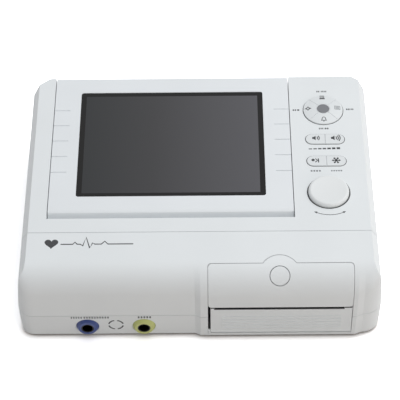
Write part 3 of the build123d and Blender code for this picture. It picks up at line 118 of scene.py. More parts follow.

# %% [markdown]
# Most of the housing is ABS, injection moulded in a tool whose walls were spark eroded. That
# gives the eye a soft, even sheen with a very fine pebbled grain and no sharp reflections. ABS
# has an IOR near 1.53 and this texture a roughness near 0.55. The real grain is about 0.1 mm, too
# fine to show in the render, so it is drawn at 0.6 mm. It could be real relief in the mesh, which
# would take millions of faces, so a bump stands for it. A second, broad noise shifts the white by
# a hair, as thick and thin walls of one moulding do. Acetal, silicone, rubber, shrink sleeve and
# the felt-like matt black of painted shade have a fine grain on a plain colour too, so the same
# function makes them, each with its own grain, IOR and roughness: the painted shade's black is
# the roughest, acetal and the sleeve the smoothest.


# %% Plastics, rubber and felt
def moulded_plastic(name, colour, shade, grain_mm, relief_mm, roughness, ior=1.53, drift_mm=60):
    """A plastic, rubber or felt with a fine grain; its colour drifts from colour to shade."""
    material, tree = new_material(name)
    point = object_point(tree)
    drift = add_node(tree, "ShaderNodeTexNoise", {
        "Vector": point, "Scale": per_metre(drift_mm), "Detail": 2.0, "Roughness": 0.5})
    grain = add_node(tree, "ShaderNodeTexNoise", {
        "Vector": point, "Scale": per_metre(grain_mm), "Detail": 3.0, "Roughness": 0.6})
    gloss = add_node(tree, "ShaderNodeMapRange", {
        "Value": grain.outputs["Fac"], "To Min": roughness - 0.05, "To Max": roughness + 0.05})
    bump = add_node(tree, "ShaderNodeBump", {
        "Height": grain.outputs["Fac"], "Strength": 0.5, "Distance": relief_mm * MM})
    shader = add_node(tree, "ShaderNodeBsdfPrincipled", {
        "Base Color": ramp_between(tree, drift.outputs["Fac"], [(0.35, colour), (0.65, shade)]),
        "Roughness": gloss.outputs["Result"], "IOR": ior, "Normal": bump.outputs["Normal"]})
    finish_material(tree, shader)
    return material


# The covers and the screen's case: white ABS, matt with a soft, wide sheen.
cover_abs = moulded_plastic("abs_spark_eroded_white", "#E0E4E5", "#DEE2E3", 0.6, 0.02, 0.55)
screen_abs = moulded_plastic("abs_spark_eroded_screen_white", "#E0E4E6", "#DEE2E4", 0.5, 0.018, 0.55)
# The keys and the dial: a finer satin texture, so they look smoother than the covers.
key_abs = moulded_plastic("abs_satin_key_white", "#D9DDDE", "#D6DADB", 0.4, 0.01, 0.45)
dial_abs = moulded_plastic("abs_satin_dial_white", "#DEE1E1", "#DCDFDF", 0.4, 0.01, 0.45)
# The middle key: a soft elastomer, mid grey and duller than the satin keys.
centre_key_tpe = moulded_plastic("tpe_moulded_grey", "#75777B", "#6D7073", 0.4, 0.015, 0.6)
# Inner mouldings: a grey tray, black PBT where there is heat or mains, waxy pale acetal gears.
tray_abs = moulded_plastic("abs_moulded_tray_grey", "#C9CCCE", "#C2C5C8", 0.6, 0.02, 0.45)
pbt_black = moulded_plastic("pbt_moulded_black", "#1B1B1D", "#232325", 0.5, 0.02, 0.45, 1.56)
acetal = moulded_plastic("acetal_moulded_natural", "#ECEBE2", "#E4E3D9", 0.3, 0.006, 0.3, 1.48)
# The socket rings: ABS coloured through, with more gloss than the covers.
collar_blue = moulded_plastic("abs_moulded_blue", "#193679", "#16306D", 0.4, 0.012, 0.35)
collar_green = moulded_plastic("abs_moulded_yellow_green", "#B9BE74", "#B1B66C", 0.4, 0.012, 0.4)
# Soft materials: silicone is satin; rubber and the felt-like matt black of painted shade swallow nearly
# all light.
silicone_grey = moulded_plastic("silicone_pressed_grey", "#B9BBBD", "#AEB0B2", 0.5, 0.02, 0.6, 1.42)
silicone_white = moulded_plastic("silicone_pressed_white", "#E6E9EA", "#E1E4E5", 0.5, 0.01, 0.6, 1.42)
# Painted shade: this black goes into the gaps round the keys, the dial and the door seam, where there is
# only shade.
shade_black = moulded_plastic("painted_shade_black_matt", "#1C1E20", "#26282A", 0.3, 0.03, 0.9, 1.45)
nitrile_black = moulded_plastic("nitrile_rubber_ground_black", "#1A1A1B", "#242425", 0.35, 0.03, 0.75)
# The battery's sleeve: thin shrunk PVC, the glossiest of these.
battery_sleeve = moulded_plastic("pvc_heat_shrink_blue", "#2F4C86", "#294377", 1.5, 0.03, 0.28, 1.53, 20)
print("plastics, rubber and felt made")

# %% [markdown]
# The window in front of the display is an acrylic sheet, coated against reflections and printed
# black on its back as a frame. The coating brings the IOR at the surface down from 1.49 to about
# 1.36 and leaves it nearly mirror smooth, so the eye sees a weak reflection over a dark ground.
# Behind the clear middle lies the display's film, a charcoal whose colour grows paler to the right:
# a painted sheen, the light from that side painted into the film. Frame and film could be sheets
# of their own behind the pane. One material does both instead: it reads the place on the sheet in
# object space, and so it moves with the screen. Inputs 6 and 7 of the mix node are its two
# colours, the frame's and the film's.

# %% Display window
pane_low, pane_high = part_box("screen_window")
WINDOW_LEDGE = 3.0 * MM
FRAME_WIDTH = 5.2 * MM
FRAME_HEIGHT = 4.8 * MM
PRINT_EDGE = 0.15 * MM
film_inset = Vector((WINDOW_LEDGE + FRAME_WIDTH, WINDOW_LEDGE + FRAME_HEIGHT))
lcd_low = pane_low.xy + film_inset
lcd_high = pane_high.xy - film_inset


def inside_band(tree, value, low, high, soft):
    """1 between low and high, 0 outside, with a soft edge."""
    rise = add_node(tree, "ShaderNodeMapRange", {
        "Value": value, "From Min": low - soft, "From Max": low + soft})
    fall = add_node(tree, "ShaderNodeMapRange", {
        "Value": value, "From Min": high + soft, "From Max": high - soft})
    both = add_node(tree, "ShaderNodeMath", {0: rise.outputs[0], 1: fall.outputs[0]},
                    {"operation": "MULTIPLY"})
    return both.outputs[0]


def display_window_material():
    """Coated acrylic with a black printed frame over the display's charcoal film and its painted sheen.
    """
    material, tree = new_material("acrylic_back_printed_window")
    place = add_node(tree, "ShaderNodeSeparateXYZ", {"Vector": object_point(tree)})
    across = inside_band(tree, place.outputs["X"], lcd_low.x, lcd_high.x, PRINT_EDGE)
    along = inside_band(tree, place.outputs["Y"], lcd_low.y, lcd_high.y, PRINT_EDGE)
    film = add_node(tree, "ShaderNodeMath", {0: across, 1: along}, {"operation": "MULTIPLY"})
    sweep = add_node(tree, "ShaderNodeMapRange", {
        "Value": place.outputs["X"], "From Min": lcd_low.x, "From Max": lcd_high.x})
    # Painted sheen: the film's colour grows paler towards +x, the right, where the light comes from.
    film_colour_and_painted_sheen = ramp_between(tree, sweep.outputs["Result"], [
        (0.0, "#2D2F31"), (0.4, "#3D3D3F"), (0.75, "#4D4D50"), (1.0, "#555559")])
    mix = add_node(tree, "ShaderNodeMix", {
        0: film.outputs[0], 6: linear("#020203"), 7: film_colour_and_painted_sheen}, {"data_type": "RGBA"})
    haze = add_node(tree, "ShaderNodeTexNoise", {
        "Vector": object_point(tree), "Scale": per_metre(30), "Detail": 2.0})
    gloss = add_node(tree, "ShaderNodeMapRange", {
        "Value": haze.outputs["Fac"], "To Min": 0.06, "To Max": 0.12})
    shader = add_node(tree, "ShaderNodeBsdfPrincipled", {
        "Base Color": mix.outputs[2], "Roughness": gloss.outputs["Result"], "IOR": 1.36})
    finish_material(tree, shader)
    return material


window_acrylic = display_window_material()
film_size = [round(side / MM, 1) for side in lcd_high - lcd_low]
print("display film:", film_size[0], "by", film_size[1], "mm")

# %% [markdown]
# The recorder's frame is zinc plated sheet steel and its shafts are ground steel. Metals keep the
# default IOR; what the eye reads is the grain left by rolling or grinding. A noise texture
# stretched along one axis gives that grain, and it drives the roughness and a faint bump. Real
# grinding lines are about 0.05 mm wide, so they are drawn 0.3 to 1.2 mm wide to show at all. The
# shader's anisotropy could stretch the highlights too, but only a drawn grain shows how coarse
# the work was.


# %% Metals
def worked_metal(name, colour, shade, grain_mm, stretch, roughness):
    """A metal with a directional grain, which is longest where stretch is smallest."""
    material, tree = new_material(name)
    mapping = add_node(tree, "ShaderNodeMapping", {"Vector": object_point(tree), "Scale": stretch})
    grain = add_node(tree, "ShaderNodeTexNoise", {
        "Vector": mapping.outputs["Vector"], "Scale": per_metre(grain_mm), "Detail": 4.0})
    gloss = add_node(tree, "ShaderNodeMapRange", {
        "Value": grain.outputs["Fac"], "To Min": roughness - 0.08, "To Max": roughness + 0.08})
    bump = add_node(tree, "ShaderNodeBump", {
        "Height": grain.outputs["Fac"], "Strength": 0.3, "Distance": 0.01 * MM})
    shader = add_node(tree, "ShaderNodeBsdfPrincipled", {
        "Base Color": ramp_between(tree, grain.outputs["Fac"], [(0.3, colour), (0.7, shade)]),
        "Metallic": 1.0, "Roughness": gloss.outputs["Result"], "Normal": bump.outputs["Normal"]})
    finish_material(tree, shader)
    return material


# Zinc plated sheet: a dull silver with broad, soft lines from the rolling mill.
zinc_sheet = worked_metal("steel_sheet_zinc_plated", "#B9BCC0", "#A9ADB2", 1.2, (1, 0.15, 1), 0.4)
# Ground shafts: brighter, with fine long lines.
ground_steel = worked_metal("steel_ground_shaft", "#C3C5C8", "#B5B7BA", 0.5, (0.1, 1, 1), 0.28)
# Spring strip and drawn can: darker and a little duller than the shafts.
spring_strip = worked_metal("spring_steel_rolled", "#9A9DA1", "#8C8F94", 0.6, (1, 0.2, 0.2), 0.32)
motor_can = worked_metal("steel_deep_drawn_can", "#ADB0B3", "#9FA2A5", 1.0, (0.3, 1, 1), 0.35)
# Nickel plating: a warm silver, the smoothest of these metals.
nickel_brass = worked_metal("brass_nickel_plated", "#C4C3BE", "#B8B7B1", 0.4, (1, 0.2, 1), 0.22)
# Black nickel: nearly black, and still with a metal's highlights. Its near-black is partly painted
# shade, for the shade deep in the socket holes.
black_nickel_hole_shade = worked_metal("brass_black_nickel_plated", "#38383A", "#2E2E30", 0.4, (1, 0.2, 1), 0.34)
# Gold flash: a pale yellow, as smooth as the nickel to the eye.
gold_contact = worked_metal("gold_flashed_contact", "#D9B764", "#CDAA55", 0.3, (1, 0.3, 1), 0.25)
print("metals made")

# %% [markdown]
# Circuit boards are glass-epoxy laminate under a green solder mask. The eye sees a satin green
# with slightly raised tracks. The thin mortar lines of a brick texture stand for the tracks. Real
# tracks lie about a millimetre apart. One unit of this texture is 12 mm and holds four rows of
# bricks, so its lines lie 3 mm apart and show. Modelled tracks would be sharper, but the boards
# lie inside the housing.


# %% Circuit boards
def solder_mask_material():
    """Green solder mask over copper tracks."""
    material, tree = new_material("glass_epoxy_green_solder_mask")
    tracks = add_node(tree, "ShaderNodeTexBrick", {
        "Vector": object_point(tree), "Scale": per_metre(12), "Mortar Size": 0.03,
        "Color1": linear("#1C5A38"), "Color2": linear("#1F6440"), "Mortar": linear("#2E7A50")})
    bump = add_node(tree, "ShaderNodeBump", {
        "Height": tracks.outputs["Fac"], "Strength": 0.5, "Distance": 0.03 * MM})
    shader = add_node(tree, "ShaderNodeBsdfPrincipled", {
        "Base Color": tracks.outputs["Color"], "Roughness": 0.35, "IOR": 1.52,
        "Normal": bump.outputs["Normal"]})
    finish_material(tree, shader)
    return material


solder_mask = solder_mask_material()
print("board material made")

# %% [markdown]
# The print on the keys and the panel is pad-printed ink: a flat, slightly rough film whose edge
# is never perfectly even. A fine noise thins it a little, which keeps it from looking cut out.
# The real film varies over about 0.1 mm, too fine to show, so the noise is 0.8 mm wide. Inks
# could be masks in the plastic's material, but as materials of their own they can go on any mark.


# %% Printing ink
def printed_ink(name, colour, thin_colour):
    """Pad-printed ink whose film varies a little in thickness."""
    material, tree = new_material(name)
    film = add_node(tree, "ShaderNodeTexNoise", {
        "Vector": object_point(tree), "Scale": per_metre(0.8), "Detail": 3.0})
    shader = add_node(tree, "ShaderNodeBsdfPrincipled", {
        "Base Color": ramp_between(tree, film.outputs["Fac"], [(0.3, colour), (0.75, thin_colour)]),
        "Roughness": 0.55, "IOR": 1.5})
    finish_material(tree, shader)
    return material


dark_ink = printed_ink("ink_pad_printed_charcoal", "#3A3D40", "#494C4F")
grey_ink = printed_ink("ink_pad_printed_grey", "#6D7175", "#7B7F83")
black_ink = printed_ink("ink_pad_printed_black", "#26282B", "#34363A")
print("inks made")

# %% [markdown]
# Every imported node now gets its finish. It could be assigned piece by piece; one table from
# finishes to nodes is easier to read, and the line it prints shows that no node is left over with
# the importer's plain colour.

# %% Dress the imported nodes
finishes = {
    cover_abs: ["top_cover", "front_cover", "base_shell", "recorder_cover", "paper_apron",
                "latch_button", "latch_guide", "battery_door"],
    screen_abs: ["screen_bezel", "screen_back"],
    key_abs: ["key_up", "key_right", "key_down", "key_left", "key_volume_down", "key_volume_up",
              "key_event", "key_freeze"],
    dial_abs: ["dial_knob"],
    centre_key_tpe: ["key_ok"],
    window_acrylic: ["screen_window"],
    pbt_black: ["lcd_panel", "print_head", "socket_inserts", "mains_inlet", "power_rocker", "speaker"],
    solder_mask: ["screen_board", "keypad_board", "main_board", "power_supply"],
    acetal: ["hinge_bushes", "encoder_pusher", "platen_gear", "platen_bushes", "idler_gear"],
    silicone_grey: ["keypad_mat"],
    nitrile_black: ["screen_bumpers", "platen_roller", "feet"],
    tray_abs: ["paper_tray"],
    collar_blue: ["socket_collar_blue"],
    collar_green: ["socket_collar_green"],
    battery_sleeve: ["battery_pack"],
    zinc_sheet: ["head_bracket", "recorder_frame", "network_port", "case_screws"],
    ground_steel: ["hinge_shafts", "encoder_shaft", "door_hinge_pin", "platen_shaft", "idler_stud",
                   "pinion_gear", "motor_shaft"],
    spring_strip: ["latch_keeper"],
    motor_can: ["stepper_motor", "encoder_body"],
    black_nickel_hole_shade: ["socket_shells"],
}
dressed = set()
for material, names in finishes.items():
    for name in names:
        nodes[name].data.materials.clear()
        nodes[name].data.materials.append(material)
        dressed.add(name)
print("dressed", len(dressed), "nodes; left over:", sorted(set(nodes) - dressed))

# %% [markdown]
# All marks on the panel are drawn flat first, in millimetres on a sheet. A patch is a filled
# outline, written as a list of its corners, and a ribbon is a line with a width, made of one
# patch for each of its runs. An arc gives the points of a curved ribbon, and discs and bars are
# ready patches. Curve objects could draw the same marks, but plain corners can be laid on any
# surface.


# %% Lines and patches
def ribbon(points, width, closed=False):
    """Quads along a line of (x, y) points in millimetres."""
    count = len(points)
    edges = []
    for i in range(count):
        before = Vector(points[i - 1] if closed or i > 0 else points[i])
        after = Vector(points[(i + 1) % count] if closed or i < count - 1 else points[i])
        along = (after - before).normalized()
        side = Vector((-along.y, along.x)) * width / 2
        here = Vector(points[i])
        edges.append((here + side, here - side))
    pairs = range(count if closed else count - 1)
    quads = []
    for i in pairs:
        a, b = edges[i], edges[(i + 1) % count]
        quads.append((a[1], b[1], b[0], a[0]))
    return quads


def arc_points(centre, radius, start, end, steps=24):
    """Points along an arc, angles in degrees."""
    angles = [radians(start + (end - start) * i / steps) for i in range(steps + 1)]
    return [(centre[0] + radius * cos(a), centre[1] + radius * sin(a)) for a in angles]


def disc(centre, radius, steps=28):
    """A filled circle as one patch."""
    return [arc_points(centre, radius, 0, 360 * (steps - 1) / steps, steps - 1)]


def bar(x_from, x_to, y, height):
    """A filled upright rectangle as one patch."""
    low, high = y - height / 2, y + height / 2
    return [[(x_from, low), (x_to, low), (x_to, high), (x_from, high)]]


def moved(patches, dx, dy, size=1.0):
    """Patches scaled about their origin and then shifted."""
    return [[(dx + p[0] * size, dy + p[1] * size) for p in patch] for patch in patches]


print("a disc has", len(disc((0, 0), 1)[0]), "corners")

# %% [markdown]
# The marks on the real panel are printed, so they are very thin. They could be drawn in the
# plastic's own material, but a film of real geometry stays sharp from near by. Each is built as a
# closed film: its flat patches are laid on their surface by a small function of the place. The
# bottom of the film sinks a little into the surface and the top stands a little proud, so nothing
# flickers.

# %% Printed film
FILM_LOW = -0.03
FILM_HIGH = 0.05


def mesh_piece(name, mesh, body, material):
    """Turn a bmesh into an object that rides on its body."""
    data = bpy.data.meshes.new(name)
    mesh.to_mesh(data)
    mesh.free()
    piece = bpy.data.objects.new(name, data)
    bpy.context.scene.collection.objects.link(piece)
    data.materials.append(material)
    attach(piece, body)


def print_film(name, patches, surface, body, ink):
    """Make one mesh of thin closed films and let it ride on its body."""
    mesh = bmesh.new()
    for patch in patches:
        outline = [Vector((p[0], p[1])) for p in patch]
        area = sum(a.x * b.y - b.x * a.y for a, b in zip(outline, outline[1:] + outline[:1]))
        if area < 0:
            outline.reverse()
        top = [mesh.verts.new(Vector(surface(p.x, p.y, FILM_HIGH)) * MM) for p in outline]
        low = [mesh.verts.new(Vector(surface(p.x, p.y, FILM_LOW)) * MM) for p in outline]
        mesh.faces.new(top)
        mesh.faces.new(list(reversed(low)))
        for i in range(len(outline)):
            j = (i + 1) % len(outline)
            mesh.faces.new((low[i], low[j], top[j], top[i]))
    bmesh.ops.recalc_face_normals(mesh, faces=mesh.faces)
    mesh_piece(name, mesh, body, ink)


print("film is", round(FILM_HIGH - FILM_LOW, 2), "mm thick")

# %% [markdown]
# The print lies on four surfaces: the flat panel, the domed pad, the flat pill keys and the front
# wall. Each surface function turns a place on the sheet, and a height above it, into a place on
# the object. The dome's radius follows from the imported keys, so print and key agree. Four lengths
# are written out: the radius of the pad's opening, how far the pad's rim and the socket's ring
# stand out of the housing, and the height in which the front wall leans by one millimetre.

# %% Surfaces that carry print
panel_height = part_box("top_cover")[1].z / MM
pad_middle = (
    (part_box("key_left")[0].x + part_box("key_right")[1].x) / 2 / MM,
    (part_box("key_down")[0].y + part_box("key_up")[1].y) / 2 / MM,
)
pad_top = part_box("key_ok")[1].z / MM
PAD_RADIUS = 19.7
PAD_EDGE_RISE = 1.0
pad_drop = pad_top - panel_height - PAD_EDGE_RISE
dome_radius = (PAD_RADIUS**2 + pad_drop**2) / (2 * pad_drop)
pill_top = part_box("key_event")[1].z / MM
collar_low, collar_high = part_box("socket_collar_blue")
COLLAR_PROUD = 2.6
WALL_LEAN = 28
wall_y = collar_low.y / MM + COLLAR_PROUD
wall_height = (collar_low.z + collar_high.z) / 2 / MM


def on_panel(x, y, height):
    """A place on the flat top of the housing."""
    return (x, y, panel_height + height)


def on_pad(x, y, height):
    """A place on the dome of the round pad."""
    reach = (x - pad_middle[0]) ** 2 + (y - pad_middle[1]) ** 2
    return (x, y, pad_top - dome_radius + sqrt(dome_radius**2 - reach) + height)


def on_pill(x, y, height):
    """A place on the flat top of the pill keys."""
    return (x, y, pill_top + height)


def on_front(x, z, height):
    """A place on the leaning front wall of the base."""
    lean = (z - wall_height) / WALL_LEAN
    return (x, wall_y - lean - height, z)


print("pad centre", [round(v, 2) for v in pad_middle], "dome radius", round(dome_radius, 1), "mm")

# %% [markdown]
# Each of the pad's four outer keys carries a small sign: a sheet, a list, a bell and a lamp. They
# are drawn from ribbons and patches about their own origin, a few millimetres across, then
# shifted to their places and laid on the dome.


# %% Signs of the round pad
def bell_sign():
    """A bell outline with its clapper."""
    outline = [(-2.8, -1.5), (-1.8, -0.6), (-1.6, 1.2), (-0.7, 2.4), (0.7, 2.4), (1.6, 1.2),
               (1.8, -0.6), (2.8, -1.5)]
    return ribbon(outline, 0.7, closed=True) + disc((0, -2.4), 0.6, 12)


def list_sign():
    """A framed list of three lines."""
    frame_points = [(-2.6, -2.2), (2.6, -2.2), (2.6, 2.2), (-2.6, 2.2)]
    rows = [row for y in (-1.1, 0.0, 1.1) for row in bar(-1.8, 1.8, y, 0.55)]
    return ribbon(frame_points, 0.7, closed=True) + rows


def sheet_sign():
    """A sheet with a trace, coming out of a slot."""
    sheet = [(-1.8, -1.0), (1.8, -1.0), (1.8, 2.4), (-1.8, 2.4)]
    trace = [(-1.1, 0.5), (-0.5, 0.5), (0.1, 1.7), (0.6, -0.1), (1.1, 0.6)]
    return ribbon(sheet, 0.8, closed=True) + ribbon(trace, 0.75) + bar(-2.6, 2.6, -2.2, 1.4)


def lamp_sign():
    """A lozenge with a short ray on each side."""
    lozenge = [(-1.8, 0.0), (0.0, 2.2), (1.8, 0.0), (0.0, -2.2)]
    rays = [ray for x in (-3.0, 2.0) for ray in bar(x, x + 1.0, 0.0, 1.0)]
    return ribbon(lozenge, 1.15, closed=True) + rays


pad_signs = [
    ("key_up", (-0.3, 16.4), sheet_sign(), black_ink),
    ("key_right", (13.9, 1.7), list_sign(), grey_ink),
    ("key_down", (0.1, -13.5), bell_sign(), dark_ink),
    ("key_left", (-14.6, 1.0), lamp_sign(), black_ink),
]
for key, shift, sign, ink in pad_signs:
    patches = moved(sign, pad_middle[0] + shift[0], pad_middle[1] + shift[1])
    print_film(f"print_{key}", patches, on_pad, f"{key}_cap", ink)
print("signs on the pad:", len(pad_signs))

# %% [markdown]
# The halves of the pill keys carry one sign each: two loudspeakers with two and three waves, a
# dot with an arrow that meets a bar for a mark on the trace, and a star for a held trace. Each is
# drawn like the signs of the pad, scaled a little and laid on the flat top of its key.


# %% Signs of the pill keys
def loudspeaker_sign(waves):
    """A loudspeaker with a number of sound waves."""
    horn = [[(-3.4, -1.2), (-2.2, -1.2), (-0.4, -2.6), (-0.4, 2.6), (-2.2, 1.2), (-3.4, 1.2)]]
    arcs = []
    for i in range(waves):
        arcs += ribbon(arc_points((-1.4, 0), 2.6 + 1.5 * i, -38, 38, 8), 0.8)
    return horn + arcs


def event_sign():
    """A dot beside an arrow head that meets a bar."""
    return (disc((-2.1, 0.6), 1.6, 20) + ribbon([(0.1, 2.4), (2.0, 0.2), (-0.1, -2.2)], 0.95)
            + ribbon([(2.9, 2.5), (2.9, -2.6)], 0.95))


def star_sign():
    """Six crossed rays with short branches, for a held trace."""
    rays = []
    for turn in range(6):
        angle = radians(60 * turn)
        tip = Vector((cos(angle), sin(angle))) * 3.9
        rays += ribbon([(0, 0), tuple(tip)], 1.0)
        for side in (-1, 1):
            twig = Vector((cos(angle + side * 0.7), sin(angle + side * 0.7))) * 1.3
            root = tip * 0.55
            rays += ribbon([tuple(root), tuple(root + twig)], 0.8)
    return rays


pill_signs = [
    ("key_volume_down", (1.9, 1.0), loudspeaker_sign(2), 1.1),
    ("key_volume_up", (-0.7, 1.0), loudspeaker_sign(3), 1.15),
    ("key_event", (-0.2, 0.2), event_sign(), 1.0),
    ("key_freeze", (-1.2, 0.2), star_sign(), 1.05),
]
for key, shift, sign, size in pill_signs:
    low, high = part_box(key)
    middle = ((low.x + high.x) / 2 / MM, (low.y + high.y) / 2 / MM)
    patches = moved(sign, middle[0] + shift[0], middle[1] + shift[1], size)
    print_film(f"print_{key}", patches, on_pill, f"{key}_cap", black_ink)
print("signs on the pill keys:", len(pill_signs))

# %% [markdown]
# Beside the keys stand plain captions, made of rows of short grey dashes. Each row is written as
# the x and y of its middle, its width and its number of dashes, and some rows add the height of a
# dash and the gap between two.


# %% Captions beside the keys
def dash_row(x, y, width, count, height=1.9, gap=0.6):
    """A row of plain dashes centred on a place."""
    pitch = (width + gap) / count
    start = x - width / 2
    return [dash for i in range(count)
            for dash in bar(start + i * pitch, start + (i + 1) * pitch - gap, y, height)]


def caption_patches(rows):
    """All dashes of several rows."""
    return [dash for row in rows for dash in dash_row(*row)]


PANEL_CAPTIONS = [
    (116.6, 108.3, 2.8, 2), (122.2, 108.3, 5.2, 4),
    (92.7, 83.1, 3.4, 2), (96.4, 83.1, 2.0, 1),
    (144.6, 83.6, 3.4, 2), (148.6, 83.6, 2.6, 2),
    (117.4, 57.9, 4.2, 3), (122.6, 57.9, 3.6, 2),
]
PANEL_LOW_CAPTIONS = [(109.6, 2.7, 9.4, 4, 1.9, 0.9), (129.2, 2.7, 10.4, 5, 1.5, 0.8)]
print_film("panel_captions", caption_patches(PANEL_CAPTIONS), on_panel, "root", dark_ink)
print_film("panel_low_captions", caption_patches(PANEL_LOW_CAPTIONS), on_panel, "root", grey_ink)
print("caption rows:", len(PANEL_CAPTIONS) + len(PANEL_LOW_CAPTIONS))

# %% [markdown]
# Under the loudness keys lies a scale of seven dashes. Each is a little taller and higher up than
# the one before it, and the last three are black.

# %% Loudness scale
SCALE_LEFT = 104.3
SCALE_RIGHT = 135.3
SCALE_Y = 31.1
STEP_FILL = 0.74
STEP_RISE = 0.1
FIRST_STEP_HEIGHT = 1.2
STEP_GROWTH = 0.22
scale_inks = [dark_ink] * 4 + [black_ink] * 3
step_pitch = (SCALE_RIGHT - SCALE_LEFT) / len(scale_inks)
for i, ink in enumerate(scale_inks):
    start = SCALE_LEFT + i * step_pitch
    step = bar(start, start + step_pitch * STEP_FILL, SCALE_Y + STEP_RISE * i,
               FIRST_STEP_HEIGHT + STEP_GROWTH * i)
    print_film(f"loudness_step_{i + 1}", step, on_panel, "root", ink)
print("steps of the scale:", len(scale_inks), "of", round(step_pitch, 2), "mm")

# %% [markdown]
# Under the dial a two-headed arrow shows that it turns. Its line is an arc about the dial's
# middle, and each head is a triangle across the end of the line. Both are worked out from the
# packed dial's box, so the arrow stays round it.

# %% Turning arrow under the dial
dial_low, dial_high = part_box("dial_knob")
dial_middle = ((dial_low.x + dial_high.x) / 2 / MM, (dial_low.y + dial_high.y) / 2 / MM)
ARROW_RADIUS = 27.6
ARROW_SPAN = 26
ARROW_WIDTH = 0.6
HEAD_SPAN = 6
HEAD_SPREAD = 1.25
TO_OPERATOR = 270
arrow_line = arc_points(dial_middle, ARROW_RADIUS, TO_OPERATOR - ARROW_SPAN, TO_OPERATOR + ARROW_SPAN)
arrow = ribbon(arrow_line, ARROW_WIDTH)
middle = Vector(dial_middle)
for side in (-1, 1):
    turn = radians(TO_OPERATOR + side * ARROW_SPAN)
    tip_turn = radians(TO_OPERATOR + side * (ARROW_SPAN + HEAD_SPAN))
    base = Vector((cos(turn), sin(turn))) * ARROW_RADIUS
    spread = Vector((cos(turn), sin(turn))) * HEAD_SPREAD
    tip = Vector((cos(tip_turn), sin(tip_turn))) * (ARROW_RADIUS + 0.1)
    arrow.append([tuple(middle + base + spread), tuple(middle + base - spread), tuple(middle + tip)])
print_film("dial_turning_arrow", arrow, on_panel, "root", black_ink)
print("dial centre", [round(v, 1) for v in dial_middle])

# %% [markdown]
# On the front wall there are small captions over the two sockets, and between them a dashed ring
# that shows where a third socket may go. The wall leans, so its surface function carries them.

# %% Captions and ring of the sockets
SOCKET_CAPTIONS = [
    (-113.4, 28.3, 10.0, 5, 2.8, 1.1),
    (-95.2, 28.3, 23.0, 10, 2.8, 1.1),
    (-51.0, 28.3, 12.0, 5, 2.8, 1.1),
]
print_film("socket_captions", caption_patches(SOCKET_CAPTIONS), on_front, "root", dark_ink)

RING_MIDDLE = (-77.5, 17.0)
RING_RADIUS = 6.6
RING_WIDTH = 1.4
DASH_START = 12
DASH_END = 78
ring = []
for quarter in range(4):
    dash = arc_points(RING_MIDDLE, RING_RADIUS, 90 * quarter + DASH_START, 90 * quarter + DASH_END, 12)
    ring += ribbon(dash, RING_WIDTH)
print_film("spare_socket_ring", ring, on_front, "root", black_ink)
print("dashes of the ring: 4, radius", RING_RADIUS, "mm")

# %% [markdown]
# On the left of the front cover stand a plain heart and a pulse line, a general sign for a
# monitor of the heart. The heart is the usual curve of sines and cosines, and the pulse line is a
# ribbon.


# %% Heart and pulse line
def heart_points(size, steps=40):
    """The outline of a heart from its usual trigonometric curve, which is 32 units wide."""
    points = []
    for i in range(steps):
        t = 2 * pi * i / steps
        x = 16 * sin(t) ** 3
        y = 13 * cos(t) - 5 * cos(2 * t) - 2 * cos(3 * t) - cos(4 * t)
        points.append((x * size / 32, y * size / 32))
    return points


MARK_LEFT = -141.0
MARK_Y = -85.5
HEART_SIZE = 12.5
HEART_SHIFT = (6.5, 1.0)
PULSE_START = 15
PULSE_WIDTH = 1.15
heart = moved([heart_points(HEART_SIZE)], MARK_LEFT + HEART_SHIFT[0], MARK_Y + HEART_SHIFT[1])
pulse_shape = [(0, 0), (11, 0), (13, 2.4), (15, 0), (18, 0), (20, -2.2), (23, 8.2), (26.5, -4.5),
               (29, 1.6), (31, 0), (37, 0), (40, 3.4), (43, 0), (66, 0)]
pulse = ribbon([(MARK_LEFT + PULSE_START + x, MARK_Y + y) for x, y in pulse_shape], PULSE_WIDTH)
print_film("heart_mark", heart, on_panel, "root", black_ink)
print_film("pulse_mark", pulse, on_panel, "root", black_ink)
print("heart and pulse line:", PULSE_START + pulse_shape[-1][0], "mm long")

# %% [markdown]
# In each gap round the keys lies a black ring, a little under the panel's top. It is painted shade:
# the black stands for the shade in the gap and makes the outlines crisp. A ring could be a swept
# curve, but a wall between two outlines is closed and has exact sides. The outer side reaches a
# little into the plastic, and the inner side keeps clear of the keys, which move.


# %% Painted shade rings of the keys
def shade_ring_wall(name, outer, inner, low, high):
    """A black ring of painted shade between two outlines of equal count, from low to high in
    millimetres.
    """
    mesh = bmesh.new()
    corners = ((outer, low), (outer, high), (inner, high), (inner, low))
    rings = [[mesh.verts.new(Vector((p[0], p[1], z)) * MM) for p in line] for line, z in corners]
    for k in range(4):
        for i in range(len(outer)):
            j = (i + 1) % len(outer)
            mesh.faces.new((rings[k][i], rings[k][j], rings[(k + 1) % 4][j], rings[(k + 1) % 4][i]))
    bmesh.ops.recalc_face_normals(mesh, faces=mesh.faces)
    mesh_piece(name, mesh, "root", shade_black)


def circle_line(middle, radius, steps=96):
    """A closed circle as points."""
    return arc_points(middle, radius, 0, 360 * (steps - 1) / steps, steps - 1)


def pill_line(middle, grow):
    """The outline of a row of pill keys, grown by so many millimetres from its opening."""
    radius = PILL_WIDTH / 2 + grow
    straight = (PILL_LENGTH - PILL_WIDTH) / 2
    return (arc_points((middle[0] + straight, middle[1]), radius, -90, 90)
            + arc_points((middle[0] - straight, middle[1]), radius, 90, 270))


KEY_GAP = 0.6
CLEARANCE = 0.1
OVERLAP = 0.03
PILL_LENGTH = 38.2
PILL_WIDTH = 13.9
SHADE_RING_SINK = 0.05
SHADE_RING_HEIGHT = 1.2
shade_ring_top = panel_height - SHADE_RING_SINK
shade_ring_low = shade_ring_top - SHADE_RING_HEIGHT
